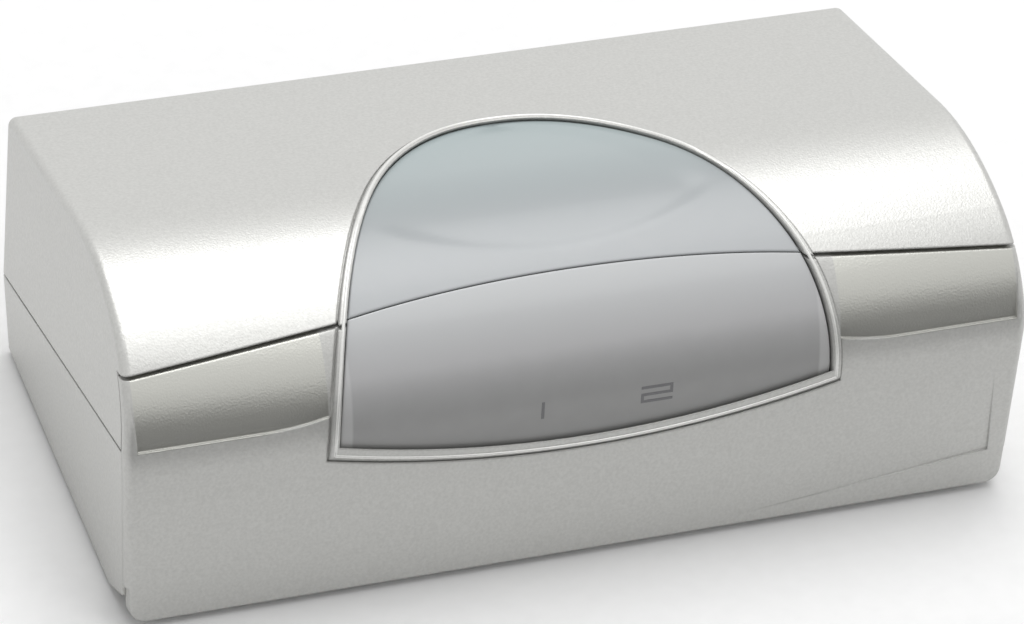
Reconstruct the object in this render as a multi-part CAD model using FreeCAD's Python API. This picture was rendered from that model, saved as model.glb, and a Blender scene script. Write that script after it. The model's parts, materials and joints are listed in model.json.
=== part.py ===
import FreeCAD, Part
import math
import os

# Two-port desktop video switch, millimetres.
# The pieces are drawn in the frame of the case: X along the width, Y from front to rear, Z up, with
# the seam between cover and base at Z = 0. The underside is raked, so at the end every piece is turned
# by RAKE about X and stands on its feet with Z = 0 at the desk.

# Case
CASE_WIDTH = 130.0
CASE_DEPTH = 63.0
WALL = 2.0
RAKE = 15.0
COVER_DRAFT = 4.2
BASE_DRAFT = 1.4
END_EDGE_RADIUS = 1.2
REAR_EDGE_RADIUS = 1.5

# Front profile: a leaning face, a tight roll, a wide roll and a nearly flat roof
NOSE_Y = -0.9
FACE_LEAN = 10.5
NOSE_RADIUS = 19.0
NOSE_TURN = 50.0
BROW_RADIUS = 34.0
ROOF_SLOPE = 2.0
FACE_FOOT_Z = -27.1

# Underside of the base: the front of the floor is bevelled behind the hanging front panel
BEVEL_REAR_Y = 11.9
BEVEL_FRONT_Z = -22.8
BEVEL_FRONT_Y = 2.7

# Seam between cover and base
SEAM_GAP = 0.4
TONGUE_THICKNESS = 0.9
TONGUE_HEIGHT = 1.5
TONGUE_CLEARANCE = 0.15

# Front panel
PANEL_THICKNESS = 2.0
COVER_PANEL_GAP = 0.3
BASE_PANEL_GAP = 0.1
PANEL_CORNER_RADIUS = 2.5
PANEL_SET_IN = 0.4
PANEL_SET_IN_Z = -21.5
LIP_THICKNESS = 0.9
LIP_HEIGHT = 2.5
LIP_CLEARANCE = 0.2

# Groove between cover and front panel, as height over the seam
GROOVE_WIDTH = 0.5
GROOVE_CROWN_Z = 14.4
GROOVE_KNEE_X = 34.0
GROOVE_KNEE_Z = 12.3
GROOVE_END_Z = 9.8

# Rolled bands beside the window
BAND_TOP_Z = 11.5
BAND_RADIUS = 17.0
BAND_FOOT_Z = 0.3
BAND_FOOT_RISE = 1.0
BAND_FOOT_RUN = 9.0
BAND_STRIP_TOP = 0.2
BAND_STRIP_FOOT = 1.7

# Shallow triangular facet in the face's right-hand corner: depth at its deep corner
FACET_LEFT_X = 24.0
FACET_LEFT_Z = -25.6
FACET_CORNER_SET_IN = 3.6
FACET_CORNER_Z = -21.4
FACET_TOP_SET_IN = 4.1
FACET_TOP_Z = -8.1
FACET_DEPTH = 0.35

# Window: an arch seen along a line 45 degrees below level; heights are measured square to that line
WINDOW_HALF_WIDTH = 35.3
WINDOW_TOP = 43.4
WINDOW_FOOT = -2.9
WINDOW_SAG = 2.5
ARCH_SHOULDER = 1.57
ARCH_CROWN = 0.45
ARCH_STEPS = 14
WINDOW_GAP = 0.3
RIM_WIDTH = 1.3
RIM_HEIGHT = 0.6
RIM_LAYERS = 3
RIM_GROOVE_WIDTH = 0.3
RIM_GROOVE_DEPTH = 0.3
SPLIT_CROWN_Y = 6.0
SPLIT_SIDE_Y = 3.75
SPLIT_GAP = 0.3

# Select cap and its carrier
CAP_WALL = 1.8
DISH_DEPTH = 0.45
DISH_FOOT = 17.4
DISH_SIDE = 25.5
DISH_SIDE_X = 26.4
DISH_MARGIN = 3.0
CARRIER_WALL = 1.5
CARRIER_HALF_WIDTH = 21.0
CARRIER_FRONT_Y = 9.5
CARRIER_REAR_Y = 36.0
CARRIER_MARGIN = 1.0
CARRIER_LAP = 1.0
CARRIER_ARM_WIDTH = 3.0
CARRIER_ARM_FRONT_Y = 21.5
CARRIER_ARM_LAP = 2.0
CARRIER_ROOF_GAP = 1.4
CARRIER_EYE_RADIUS = 2.5
HINGE_Y = 43.0
HINGE_Z = 16.5
TRUNNION_RADIUS = 1.5
TRUNNION_CLEARANCE = 0.07
HINGE_BOSS_WIDTH = 4.0
HINGE_BOSS_RADIUS = 3.2
HINGE_SIDE_GAP = 0.6
PRESS_POST_RADIUS = 1.6
PRESS_PLAY = 0.08

# Circuit board
BOARD_TOP_Z = -1.5
BOARD_THICKNESS = 1.6
BOARD_SET_IN = 10.5
BOARD_EAR_SET_IN = 4.5
BOARD_EAR_GAP = 0.8
BOARD_FRONT_Y = 3.6
BOARD_REAR_GAP = 1.2
LEAD_HOLE_RADIUS = 0.45

# Switch under the cap
SWITCH_Y = 17.0
SWITCH_SIZE = 6.0
SWITCH_HEIGHT = 3.5
PLUNGER_RADIUS = 1.75
PLUNGER_HEIGHT = 1.5
PLUNGER_DEPTH = 1.6
PLUNGER_CLEARANCE = 0.08

# Port numerals and the lamps behind the window
NUMERAL_PITCH = 16.5
NUMERAL_CENTRE_X = 1.6
NUMERAL_MID_Z = -2.7
NUMERAL_HEIGHT = 2.6
NUMERAL_WIDTH = 4.6
NUMERAL_STROKE = 0.4
NUMERAL_PROUD = 0.04
NUMERAL_INK_DEPTH = 0.1
LAMP_RADIUS = 1.5
LAMP_LENGTH = 5.2
LAMP_FLANGE_RADIUS = 1.9
LAMP_FLANGE_THICKNESS = 1.0
LAMP_HEIGHT = 2.6
LAMP_REAR_Y = 11.2
LAMP_LEAD_PITCH = 2.54
LAMP_LEAD_SIZE = 0.5
LAMP_LEAD_RUN = 1.4
LEAD_TAIL = 1.2
BAFFLE_WALL = 1.2
BAFFLE_DEPTH = 6.4
BAFFLE_CELL = 13.0
BAFFLE_HEIGHT = 6.6
BAFFLE_CLEARANCE = 0.3
WINDOW_FLANGE_THICKNESS = 1.0
LAMP_CLEARANCE = 0.05

# Video sockets: 15-way, three rows of five
SOCKET_HEIGHT = 6.3
SOCKET_FLANGE_WIDTH = 30.8
SOCKET_FLANGE_HEIGHT = 12.5
SOCKET_FLANGE_THICKNESS = 0.8
SOCKET_SHELL_TOP = 16.3
SOCKET_SHELL_HEIGHT = 7.9
SOCKET_SHELL_SLANT = 10.0
SOCKET_SHELL_RADIUS = 1.8
SOCKET_SHELL_WALL = 0.4
SOCKET_SHELL_LENGTH = 5.9
SOCKET_INSULATOR_SET_BACK = 0.3
SOCKET_INSULATOR_GAP = 0.05
SOCKET_BLOCK_WIDTH = 17.0
SOCKET_BLOCK_DEPTH = 9.0
CONTACT_PITCH = 2.29
CONTACT_ROW_PITCH = 1.98
CONTACT_RADIUS = 0.45
CONTACT_BORE = 0.3
CONTACT_BORE_DEPTH = 5.0
CONTACT_RECESS = 0.8
CONTACT_LEG_RADIUS = 0.3
CONTACT_LEG_SET_BACK = 0.8
CONTACT_LEG_PITCH = 2.0
CONTACT_ROWS = 3
CONTACTS_IN_ROW = 5
JACK_POST_PITCH = 24.99
JACK_POST_FLATS = 4.8
JACK_POST_HEIGHT = 5.0
JACK_POST_THREAD_RADIUS = 1.42
JACK_POST_BORE_DEPTH = 4.6
JACK_POST_STUD_RADIUS = 1.4
JACK_POST_STUD_LENGTH = 3.4

# Rear plate and the openings round it
PLATE_THICKNESS = 1.2
PLATE_SET_IN = 4.0
PLATE_CLEARANCE = 0.3
REAR_OPENING_SET_IN = 5.5
REAR_ROW_MARGIN = 1.1
REAR_OPENING_TOP_Z = 16.5
REAR_OPENING_FOOT_Z = -6.0
SOCKET_HOLE_CLEARANCE = 0.3

# Power jack
DC_WIDTH = 9.0
DC_HEIGHT = 11.0
DC_LENGTH = 14.0
DC_PROUD = 0.8
DC_AXIS_HEIGHT = 6.5
DC_BORE_RADIUS = 3.1
DC_BORE_DEPTH = 9.5
DC_PIN_RADIUS = 1.0
DC_PIN_SET_BACK = 1.0
DC_TAIL_THICKNESS = 0.5
DC_TAIL_WIDTH = 2.0
DC_TAIL_CLEARANCE = 0.2
DC_CONTACT_WIDTH = 2.0
DC_CONTACT_THICKNESS = 0.4
DC_CONTACT_LENGTH = 7.0

# Screws, posts and feet
CASE_SCREW_SET_IN = 7.0
CASE_SCREW_FRONT_Y = 13.0
CASE_SCREW_REAR_SET_IN = 23.0
CASE_POST_RADIUS = 3.2
CASE_SCREW_RADIUS = 1.5
CASE_SCREW_HEAD_RADIUS = 2.6
CASE_SCREW_HEAD_HEIGHT = 1.8
CASE_SCREW_GRIP = 3.0
CASE_SCREW_BITE = 7.0
THREAD_CLEARANCE = 0.05
BOARD_SCREW_SET_IN = 17.0
BOARD_SCREW_FRONT_Y = 11.0
BOARD_SCREW_REAR_SET_IN = 22.0
BOARD_POST_RADIUS = 3.0
BOARD_SCREW_RADIUS = 1.25
BOARD_SCREW_HEAD_RADIUS = 2.4
BOARD_SCREW_HEAD_HEIGHT = 1.6
BOARD_SCREW_BITE = 5.0
SCREW_CLEARANCE = 0.25
SCREW_HOLE_SPARE = 0.5
DRIVE_SLOT_WIDTH = 0.7
DRIVE_SLOT_DEPTH = 0.8
LUG_X = 30.0
LUG_WIDTH = 8.0
LUG_REAR_Y = 13.5
LUG_TOP_Z = -16.0
LUG_THICKNESS = 2.0
LUG_SCREW_Y = 9.5
LUG_SCREW_BITE = 4.0
LUG_POST_RADIUS = 2.6
FOOT_RADIUS = 4.5
FOOT_TAPER = 0.4
FOOT_HEIGHT = 1.8
FOOT_POCKET = 0.6
FOOT_POCKET_SET_IN = 0.2
FOOT_SET_IN = 13.0
FOOT_FRONT_Y = 20.0
FOOT_REAR_SET_IN = 10.0

# Chips and small parts: rows in from the rear plate, places along a row from the middle
CHIP_ROW_SET_IN = 28.8
CHIP_STANDOFF = 0.1
PIN_REACH = 1.0
PIN_LAP = 0.2
PIN_THICKNESS = 0.4
VIDEO_CHIP_X = 12.0
VIDEO_CHIP_SIDE = 10.0
VIDEO_CHIP_HEIGHT = 1.5
VIDEO_CHIP_PINS = 11
VIDEO_CHIP_PIN_PITCH = 0.8
BUFFER_CHIP_LEFT_X = -14.0
BUFFER_CHIP_RIGHT_X = 27.0
BUFFER_CHIP_WIDTH = 5.0
BUFFER_CHIP_DEPTH = 4.0
BUFFER_CHIP_HEIGHT = 1.6
BUFFER_CHIP_PINS = 4
BUFFER_CHIP_PIN_PITCH = 1.27
RESISTOR_ROW_SET_IN = 19.3
RESISTOR_ROW_PITCH = 2.5
RESISTOR_CENTRE_X = 1.5
RESISTOR_PITCH = 5.5
RESISTOR_LENGTH = 2.0
RESISTOR_WIDTH = 1.2
RESISTOR_HEIGHT = 0.5
RESISTORS_IN_ROW = 7
CAN_ROW_SET_IN = 27.8
CAN_SCREW_GAP = 5.0
CAN_PITCH = 8.0
CAN_RADIUS = 3.15
CAN_HEIGHT = 7.0
SMALL_CAN_RADIUS = 2.5
SMALL_CAN_HEIGHT = 5.4
CAN_BASE_MARGIN = 0.15
CAN_BASE_HEIGHT = 0.8
CAN_NECK_HEIGHT = 1.6
CAN_NECK_RADIUS = 0.45
CAN_NECK_SET_OUT = 0.2
REGULATOR_ROW_SET_IN = 37.8
REGULATOR_SCREW_GAP = 15.0
REGULATOR_WIDTH = 6.5
REGULATOR_DEPTH = 3.5
REGULATOR_HEIGHT = 1.6
REGULATOR_TAB_WIDTH = 3.0
REGULATOR_REACH = 1.75
REGULATOR_LEG_WIDTH = 0.7
REGULATOR_LEG_PITCH = 2.3
REGULATOR_LEG_THICKNESS = 0.5

# Values that follow from those above
HALF_WIDTH = CASE_WIDTH / 2
REAR_INSIDE_Y = CASE_DEPTH - WALL
BOARD_UNDER_Z = BOARD_TOP_Z - BOARD_THICKNESS
SOCKET_Z = BOARD_TOP_Z + SOCKET_HEIGHT
PLATE_FRONT_Y = REAR_INSIDE_Y - PLATE_THICKNESS
PLATE_REAR_Y = PLATE_FRONT_Y + PLATE_THICKNESS
SOCKET_NAMES = ("input_1", "input_2", "output")
CASE_SCREW_X = HALF_WIDTH - CASE_SCREW_SET_IN
CASE_SCREW_YS = (CASE_SCREW_FRONT_Y, CASE_DEPTH - CASE_SCREW_REAR_SET_IN)
BOARD_SCREW_X = HALF_WIDTH - BOARD_SCREW_SET_IN
BOARD_SCREW_YS = (BOARD_SCREW_FRONT_Y, CASE_DEPTH - BOARD_SCREW_REAR_SET_IN)
BOARD_HALF_WIDTH = HALF_WIDTH - BOARD_SET_IN
BOARD_EAR_HALF_WIDTH = HALF_WIDTH - BOARD_EAR_SET_IN
BOARD_EAR_FRONT_Y = CASE_SCREW_YS[1] + CASE_POST_RADIUS + BOARD_EAR_GAP
BOARD_REAR_Y = PLATE_FRONT_Y - BOARD_REAR_GAP
PLATE_HALF_WIDTH = HALF_WIDTH - PLATE_SET_IN
FOOT_X = HALF_WIDTH - FOOT_SET_IN
FOOT_YS = (FOOT_FRONT_Y, CASE_DEPTH - FOOT_REAR_SET_IN)

# The power jack and the sockets share the rear opening's width, with equal gaps between them
REAR_OPENING_HALF_WIDTH = HALF_WIDTH - REAR_OPENING_SET_IN
REAR_ROW_HALF_WIDTH = REAR_OPENING_HALF_WIDTH - REAR_ROW_MARGIN
REAR_ROW_FILLED = DC_WIDTH + len(SOCKET_NAMES) * SOCKET_FLANGE_WIDTH
REAR_ROW_GAP = (2 * REAR_ROW_HALF_WIDTH - REAR_ROW_FILLED) / len(SOCKET_NAMES)
DC_X = DC_WIDTH / 2 - REAR_ROW_HALF_WIDTH
SOCKET_PITCH = SOCKET_FLANGE_WIDTH + REAR_ROW_GAP
SOCKET_FIRST_X = DC_X + (DC_WIDTH + SOCKET_FLANGE_WIDTH) / 2 + REAR_ROW_GAP
FAR = 150.0

NODES = {}


def vec(x, y, z):
    return FreeCAD.Vector(x, y, z)


def cos(angle):
    return math.cos(math.radians(angle))


def sin(angle):
    return math.sin(math.radians(angle))


def tan(angle):
    return math.tan(math.radians(angle))


def box(x0, x1, y0, y1, z0, z1):
    """A block between two corners."""
    return Part.makeBox(x1 - x0, y1 - y0, z1 - z0, vec(x0, y0, z0))


def cylinder(radius, start, end):
    """A round bar between two points."""
    run = end - start
    return Part.makeCylinder(radius, run.Length, start, run)


def join(shapes):
    """One solid from pieces that touch or overlap."""
    return shapes[0].fuse(shapes[1:]).removeSplitter()


def add(name, *shapes):
    """Names a piece; several solids under one name are a group."""
    NODES[name] = shapes[0] if len(shapes) == 1 else Part.makeCompound(list(shapes))


# Case outline

def nose_centre():
    return NOSE_Y + NOSE_RADIUS, 0.0


def brow_centre():
    y, z = nose_centre()
    apart = BROW_RADIUS - NOSE_RADIUS
    return y + apart * cos(NOSE_TURN), z - apart * sin(NOSE_TURN)


def on_arc(centre, radius, angle):
    """A point of the profile where its outward normal is turned by angle from level."""
    return vec(0, centre[0] - radius * cos(angle), centre[1] + radius * sin(angle))


def face_y(z, inset=0.0):
    """Depth of the flat leaning face at height z."""
    top = on_arc(nose_centre(), NOSE_RADIUS - inset, -FACE_LEAN)
    return top.y + (top.z - z) * tan(FACE_LEAN)


def roof_z(y, inset=0.0):
    """Height of the roof at depth y."""
    start = on_arc(brow_centre(), BROW_RADIUS - inset, 90 - ROOF_SLOPE)
    return start.z + (y - start.y) * tan(ROOF_SLOPE)


def profile_prism(inset, rear_y, foot_z):
    """All that lies behind and below the case's front and roof, across more than its width."""
    nose, brow = nose_centre(), brow_centre()
    nose_radius, brow_radius = NOSE_RADIUS - inset, BROW_RADIUS - inset
    foot = vec(0, face_y(foot_z, inset), foot_z)
    face_top = on_arc(nose, nose_radius, -FACE_LEAN)
    join_point = on_arc(nose, nose_radius, NOSE_TURN)
    roof_start = on_arc(brow, brow_radius, 90 - ROOF_SLOPE)
    roof_end = vec(0, rear_y, roof_z(rear_y, inset))
    nose_mid = on_arc(nose, nose_radius, (NOSE_TURN - FACE_LEAN) / 2)
    brow_mid = on_arc(brow, brow_radius, (NOSE_TURN + 90 - ROOF_SLOPE) / 2)
    edges = [
        Part.makeLine(foot, face_top),
        Part.Arc(face_top, nose_mid, join_point).toShape(),
        Part.Arc(join_point, brow_mid, roof_start).toShape(),
        Part.makeLine(roof_start, roof_end),
        Part.makeLine(roof_end, vec(0, rear_y, foot_z)),
        Part.makeLine(vec(0, rear_y, foot_z), foot),
    ]
    face = Part.Face(Part.Wire(edges))
    face.translate(vec(-FAR, 0, 0))
    return face.extrude(vec(2 * FAR, 0, 0))


def front_view_prism(points):
    """A closed outline in X and Z, carried from front to rear."""
    wire = Part.makePolygon([vec(x, -FAR, z) for x, z in points + points[:1]])
    return Part.Face(wire).extrude(vec(0, 2 * FAR, 0))


def end_view_prism(points, half_length=FAR):
    """A closed outline in Y and Z, carried across the width."""
    wire = Part.makePolygon([vec(-half_length, y, z) for y, z in points + points[:1]])
    return Part.Face(wire).extrude(vec(2 * half_length, 0, 0))


def end_edges(shape):
    """The edges that run round the case's two ends, without those in the seam."""
    found = []
    for edge in shape.Edges:
        ends = [vertex.Point for vertex in edge.Vertexes]
        on_one_end = abs(ends[0].x) > HALF_WIDTH - 4 and ends[0].x * ends[-1].x > 0
        in_seam = all(abs(point.z) < 0.01 for point in ends)
        at_foot = all(point.z < FACE_FOOT_Z - 1 for point in ends)
        if on_one_end and not in_seam and not at_foot:
            found.append(edge)
    return found


def upper_block(inset, rounded=False):
    """The case above the seam as a full block."""
    top = roof_z(CASE_DEPTH) + 2
    side = HALF_WIDTH - inset
    ends = front_view_prism([(-side, 0), (side, 0), (side - top * tan(COVER_DRAFT), top),
                             (-side + top * tan(COVER_DRAFT), top)])
    block = profile_prism(inset, CASE_DEPTH - max(inset, 0), -FAR).common(ends)
    if not rounded:
        return block
    rear = [edge for edge in block.Edges
            if all(v.Point.y > CASE_DEPTH - 0.01 and v.Point.z > 1 for v in edge.Vertexes)]
    block = block.makeFillet(REAR_EDGE_RADIUS, rear)
    return block.makeFillet(END_EDGE_RADIUS, end_edges(block))


def lower_block(inset, rounded=False):
    """The case below the seam as a full block, cut level well under its underside."""
    foot = FACE_FOOT_Z - 4
    side = HALF_WIDTH - inset
    ends = front_view_prism([(-side, 0), (side, 0), (side + foot * tan(BASE_DRAFT), foot),
                             (-side - foot * tan(BASE_DRAFT), foot)])
    block = profile_prism(inset, CASE_DEPTH - inset, -FAR).common(ends)
    return block.makeFillet(END_EDGE_RADIUS, end_edges(block)) if rounded else block


def underside_z(y, above=0.0):
    """Height of the raked underside plane at depth y."""
    return FACE_FOOT_Z + (y - face_y(FACE_FOOT_Z)) * tan(RAKE) + above / cos(RAKE)


def above_underside(above=0.0):
    return end_view_prism([(-FAR, underside_z(-FAR, above)), (FAR, underside_z(FAR, above)),
                           (FAR, FAR), (-FAR, FAR)])


def above_bevel(above=0.0):
    """All above the bevel behind the front panel's foot."""
    run = BEVEL_REAR_Y - BEVEL_FRONT_Y
    slope = (BEVEL_FRONT_Z - underside_z(BEVEL_REAR_Y)) / run
    rise = above * math.hypot(1, slope)
    front_z = BEVEL_FRONT_Z + (BEVEL_FRONT_Y + FAR) * slope + rise
    rear_z = BEVEL_FRONT_Z - (FAR - BEVEL_FRONT_Y) * slope + rise
    return end_view_prism([(-FAR, front_z), (FAR, rear_z), (FAR, 2 * FAR), (-FAR, 2 * FAR)])


# Groove, window and rim

def groove_points(shift):
    """The groove's line in front view, from the left end to the right."""
    slope = (GROOVE_KNEE_Z - GROOVE_END_Z) / (HALF_WIDTH - GROOVE_KNEE_X)
    far_z = GROOVE_KNEE_Z - slope * (FAR - GROOVE_KNEE_X)
    return [vec(-FAR, -FAR, far_z + shift), vec(-GROOVE_KNEE_X, -FAR, GROOVE_KNEE_Z + shift),
            vec(0, -FAR, GROOVE_CROWN_Z + shift), vec(GROOVE_KNEE_X, -FAR, GROOVE_KNEE_Z + shift),
            vec(FAR, -FAR, far_z + shift)]


def under_groove(shift):
    """All that lies below the groove's line."""
    left, left_knee, crown, right_knee, right = groove_points(shift)
    low_left, low_right = vec(-FAR, -FAR, -FAR), vec(FAR, -FAR, -FAR)
    wire = Part.Wire([
        Part.makeLine(left, left_knee),
        Part.Arc(left_knee, crown, right_knee).toShape(),
        Part.makeLine(right_knee, right),
        Part.makeLine(right, low_right),
        Part.makeLine(low_right, low_left),
        Part.makeLine(low_left, left),
    ])
    return Part.Face(wire).extrude(vec(0, 2 * FAR, 0))


def before_split(shift):
    """All that lies in front of the line that parts the cap from the status window, in plan."""
    side = vec(-WINDOW_HALF_WIDTH, SPLIT_SIDE_Y + shift, -FAR)
    crown = vec(0, SPLIT_CROWN_Y + shift, -FAR)
    other = vec(WINDOW_HALF_WIDTH, SPLIT_SIDE_Y + shift, -FAR)
    left, right = vec(-FAR, SPLIT_SIDE_Y + shift, -FAR), vec(FAR, SPLIT_SIDE_Y + shift, -FAR)
    front_left, front_right = vec(-FAR, -FAR, -FAR), vec(FAR, -FAR, -FAR)
    wire = Part.Wire([
        Part.makeLine(left, side),
        Part.Arc(side, crown, other).toShape(),
        Part.makeLine(other, right),
        Part.makeLine(right, front_right),
        Part.makeLine(front_right, front_left),
        Part.makeLine(front_left, left),
    ])
    return Part.Face(wire).extrude(vec(0, 0, 2 * FAR))


def slanting(x, height):
    """A point of the plane that looks at the window square on."""
    return vec(x, height * cos(45), height * sin(45))


def arch_prism(margin):
    """The window's arch, grown by margin, carried into the case."""
    half = WINDOW_HALF_WIDTH + margin
    top = WINDOW_TOP + margin * cos(45)
    foot = WINDOW_FOOT - margin * cos(FACE_LEAN + 45)
    right_side = []
    for step in range(ARCH_STEPS + 1):
        turn = 90.0 * step / ARCH_STEPS
        share = sin(turn) ** (2 / ARCH_SHOULDER)
        right_side.append((half * cos(turn) ** (2 * ARCH_CROWN), foot + share * (top - foot)))
    left_side = [(-x, height) for x, height in right_side[-2::-1]]
    points = [slanting(x, height) for x, height in right_side + left_side]
    curve = Part.BSplineCurve()
    curve.interpolate(points)
    sill = Part.Arc(points[-1], slanting(0, foot - WINDOW_SAG), points[0])
    face = Part.Face(Part.Wire([curve.toShape(), sill.toShape()]))
    inwards = vec(0, cos(45), -sin(45))
    face.translate(inwards * -20)
    return face.extrude(inwards * 45)


def dish_prism():
    """The thumb dish in the cap: an arc below, and the arch itself, set in, above."""
    low = slanting(0, DISH_FOOT)
    side = slanting(DISH_SIDE_X, DISH_SIDE)
    other = slanting(-DISH_SIDE_X, DISH_SIDE)
    arc = Part.Arc(other, low, side).toShape()
    high, high_other = slanting(DISH_SIDE_X, 2 * WINDOW_TOP), slanting(-DISH_SIDE_X, 2 * WINDOW_TOP)
    wire = Part.Wire([arc, Part.makeLine(side, high), Part.makeLine(high, high_other),
                      Part.makeLine(high_other, other)])
    inwards = vec(0, cos(45), -sin(45))
    face = Part.Face(wire)
    face.translate(inwards * -20)
    return face.extrude(inwards * 45).common(arch_prism(-DISH_MARGIN))


def skin(outer, inner):
    """The layer of the front and roof between two depths, across more than the width."""
    return profile_prism(outer, FAR, -FAR / 2).cut(profile_prism(inner, FAR + 1, -FAR))


def ring_round_arch(inner, outer):
    return arch_prism(outer).cut(arch_prism(inner))


def window_rim():
    """The raised frame round the arch: layers that narrow upwards along a quarter circle."""
    layers = []
    for layer in range(RIM_LAYERS):
        low, high = 60.0 * layer / RIM_LAYERS, 90.0 * (layer + 1) / RIM_LAYERS
        set_in = RIM_WIDTH / 2 * (1 - cos(low))
        ring = ring_round_arch(WINDOW_GAP + set_in, WINDOW_GAP + RIM_WIDTH - set_in)
        layers.append(ring.common(skin(-RIM_HEIGHT * sin(high), WALL)))
    return join(layers)


def rim_groove():
    """The fine groove that follows the rim's outer edge."""
    outer = WINDOW_GAP + RIM_WIDTH
    return ring_round_arch(outer, outer + RIM_GROOVE_WIDTH).common(skin(-1, RIM_GROOVE_DEPTH))


# Screw places

def four_places(x, ys):
    return [(side * x, y) for side in (-1, 1) for y in ys]


def screw(radius, length, head_radius, head_height):
    """A pan-head screw with its head's seat at the origin and its shank pointing up."""
    shank = cylinder(radius, vec(0, 0, 0), vec(0, 0, length))
    head = cylinder(head_radius, vec(0, 0, -head_height), vec(0, 0, 0))
    whole = join([shank, head])
    slot = box(-head_radius, head_radius, -DRIVE_SLOT_WIDTH / 2, DRIVE_SLOT_WIDTH / 2,
               -head_height - 1, -head_height + DRIVE_SLOT_DEPTH)
    return whole.cut(slot)


def at(shape, x, y, z):
    copy = shape.copy()
    copy.translate(vec(x, y, z))
    return copy


def upside_down(shape):
    copy = shape.copy()
    copy.rotate(vec(0, 0, 0), vec(1, 0, 0), 180)
    return copy


# Case pieces

def rear_opening():
    return box(-REAR_OPENING_HALF_WIDTH, REAR_OPENING_HALF_WIDTH, REAR_INSIDE_Y - 1, CASE_DEPTH + 1,
               REAR_OPENING_FOOT_Z, REAR_OPENING_TOP_Z)


def hinge_boss(side):
    """An ear hung from the roof, with the bore for one trunnion."""
    x0 = side * (CARRIER_HALF_WIDTH + HINGE_SIDE_GAP)
    x1 = x0 + side * HINGE_BOSS_WIDTH
    low, high = min(x0, x1), max(x0, x1)
    web = box(low, high, HINGE_Y - HINGE_BOSS_RADIUS, HINGE_Y + HINGE_BOSS_RADIUS, HINGE_Z,
              roof_z(HINGE_Y, WALL) + WALL / 2)
    eye = cylinder(HINGE_BOSS_RADIUS, vec(low, HINGE_Y, HINGE_Z), vec(high, HINGE_Y, HINGE_Z))
    bore = cylinder(TRUNNION_RADIUS + TRUNNION_CLEARANCE, vec(low - 1, HINGE_Y, HINGE_Z),
                    vec(high + 1, HINGE_Y, HINGE_Z))
    return join([web, eye]).cut(bore)


def top_cover(rim, groove):
    """Roof, roll and upper ends, with the upper half of the window's rim."""
    shell = upper_block(0, rounded=True).cut(upper_block(WALL))
    panel_room = skin(-1, PANEL_THICKNESS + COVER_PANEL_GAP).common(under_groove(GROOVE_WIDTH / 2))
    shell = shell.cut([panel_room, arch_prism(WINDOW_GAP), groove])
    shell = shell.fuse(rim.cut(under_groove(GROOVE_WIDTH / 2)))
    lip_side = HALF_WIDTH - WALL
    lip_room = skin(WALL - LIP_THICKNESS - LIP_CLEARANCE, WALL + 1)
    lip_room = lip_room.common(under_groove(GROOVE_WIDTH / 2 + LIP_HEIGHT + LIP_CLEARANCE))
    shell = shell.cut(lip_room.common(box(-lip_side, lip_side, -FAR, FAR, 1, FAR)))
    tongue_room = upper_block(WALL - TONGUE_THICKNESS - TONGUE_CLEARANCE)
    tongue_room = tongue_room.common(box(-FAR, FAR, -FAR, FAR, -1, TONGUE_HEIGHT + TONGUE_CLEARANCE))
    shell = shell.cut(tongue_room)
    shell = shell.cut(box(-FAR, FAR, -FAR, FAR, -1, SEAM_GAP / 2))
    shell = shell.cut(rear_opening())
    for x, y in four_places(CASE_SCREW_X, CASE_SCREW_YS):
        boss = cylinder(CASE_POST_RADIUS, vec(x, y, 0), vec(x, y, FAR))
        shell = shell.fuse(boss.common(upper_block(WALL / 2)))
    for x, y in four_places(CASE_SCREW_X, CASE_SCREW_YS):
        shell = shell.cut(cylinder(CASE_SCREW_RADIUS + THREAD_CLEARANCE, vec(x, y, -1),
                                   vec(x, y, CASE_SCREW_BITE + 1)))
    for side in (-1, 1):
        shell = shell.fuse(hinge_boss(side))
    return shell.removeSplitter()


def at_lug(side, z):
    """A point on the axis of one of the panel's two screws."""
    return vec(side * LUG_X, LUG_SCREW_Y, z)


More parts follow.
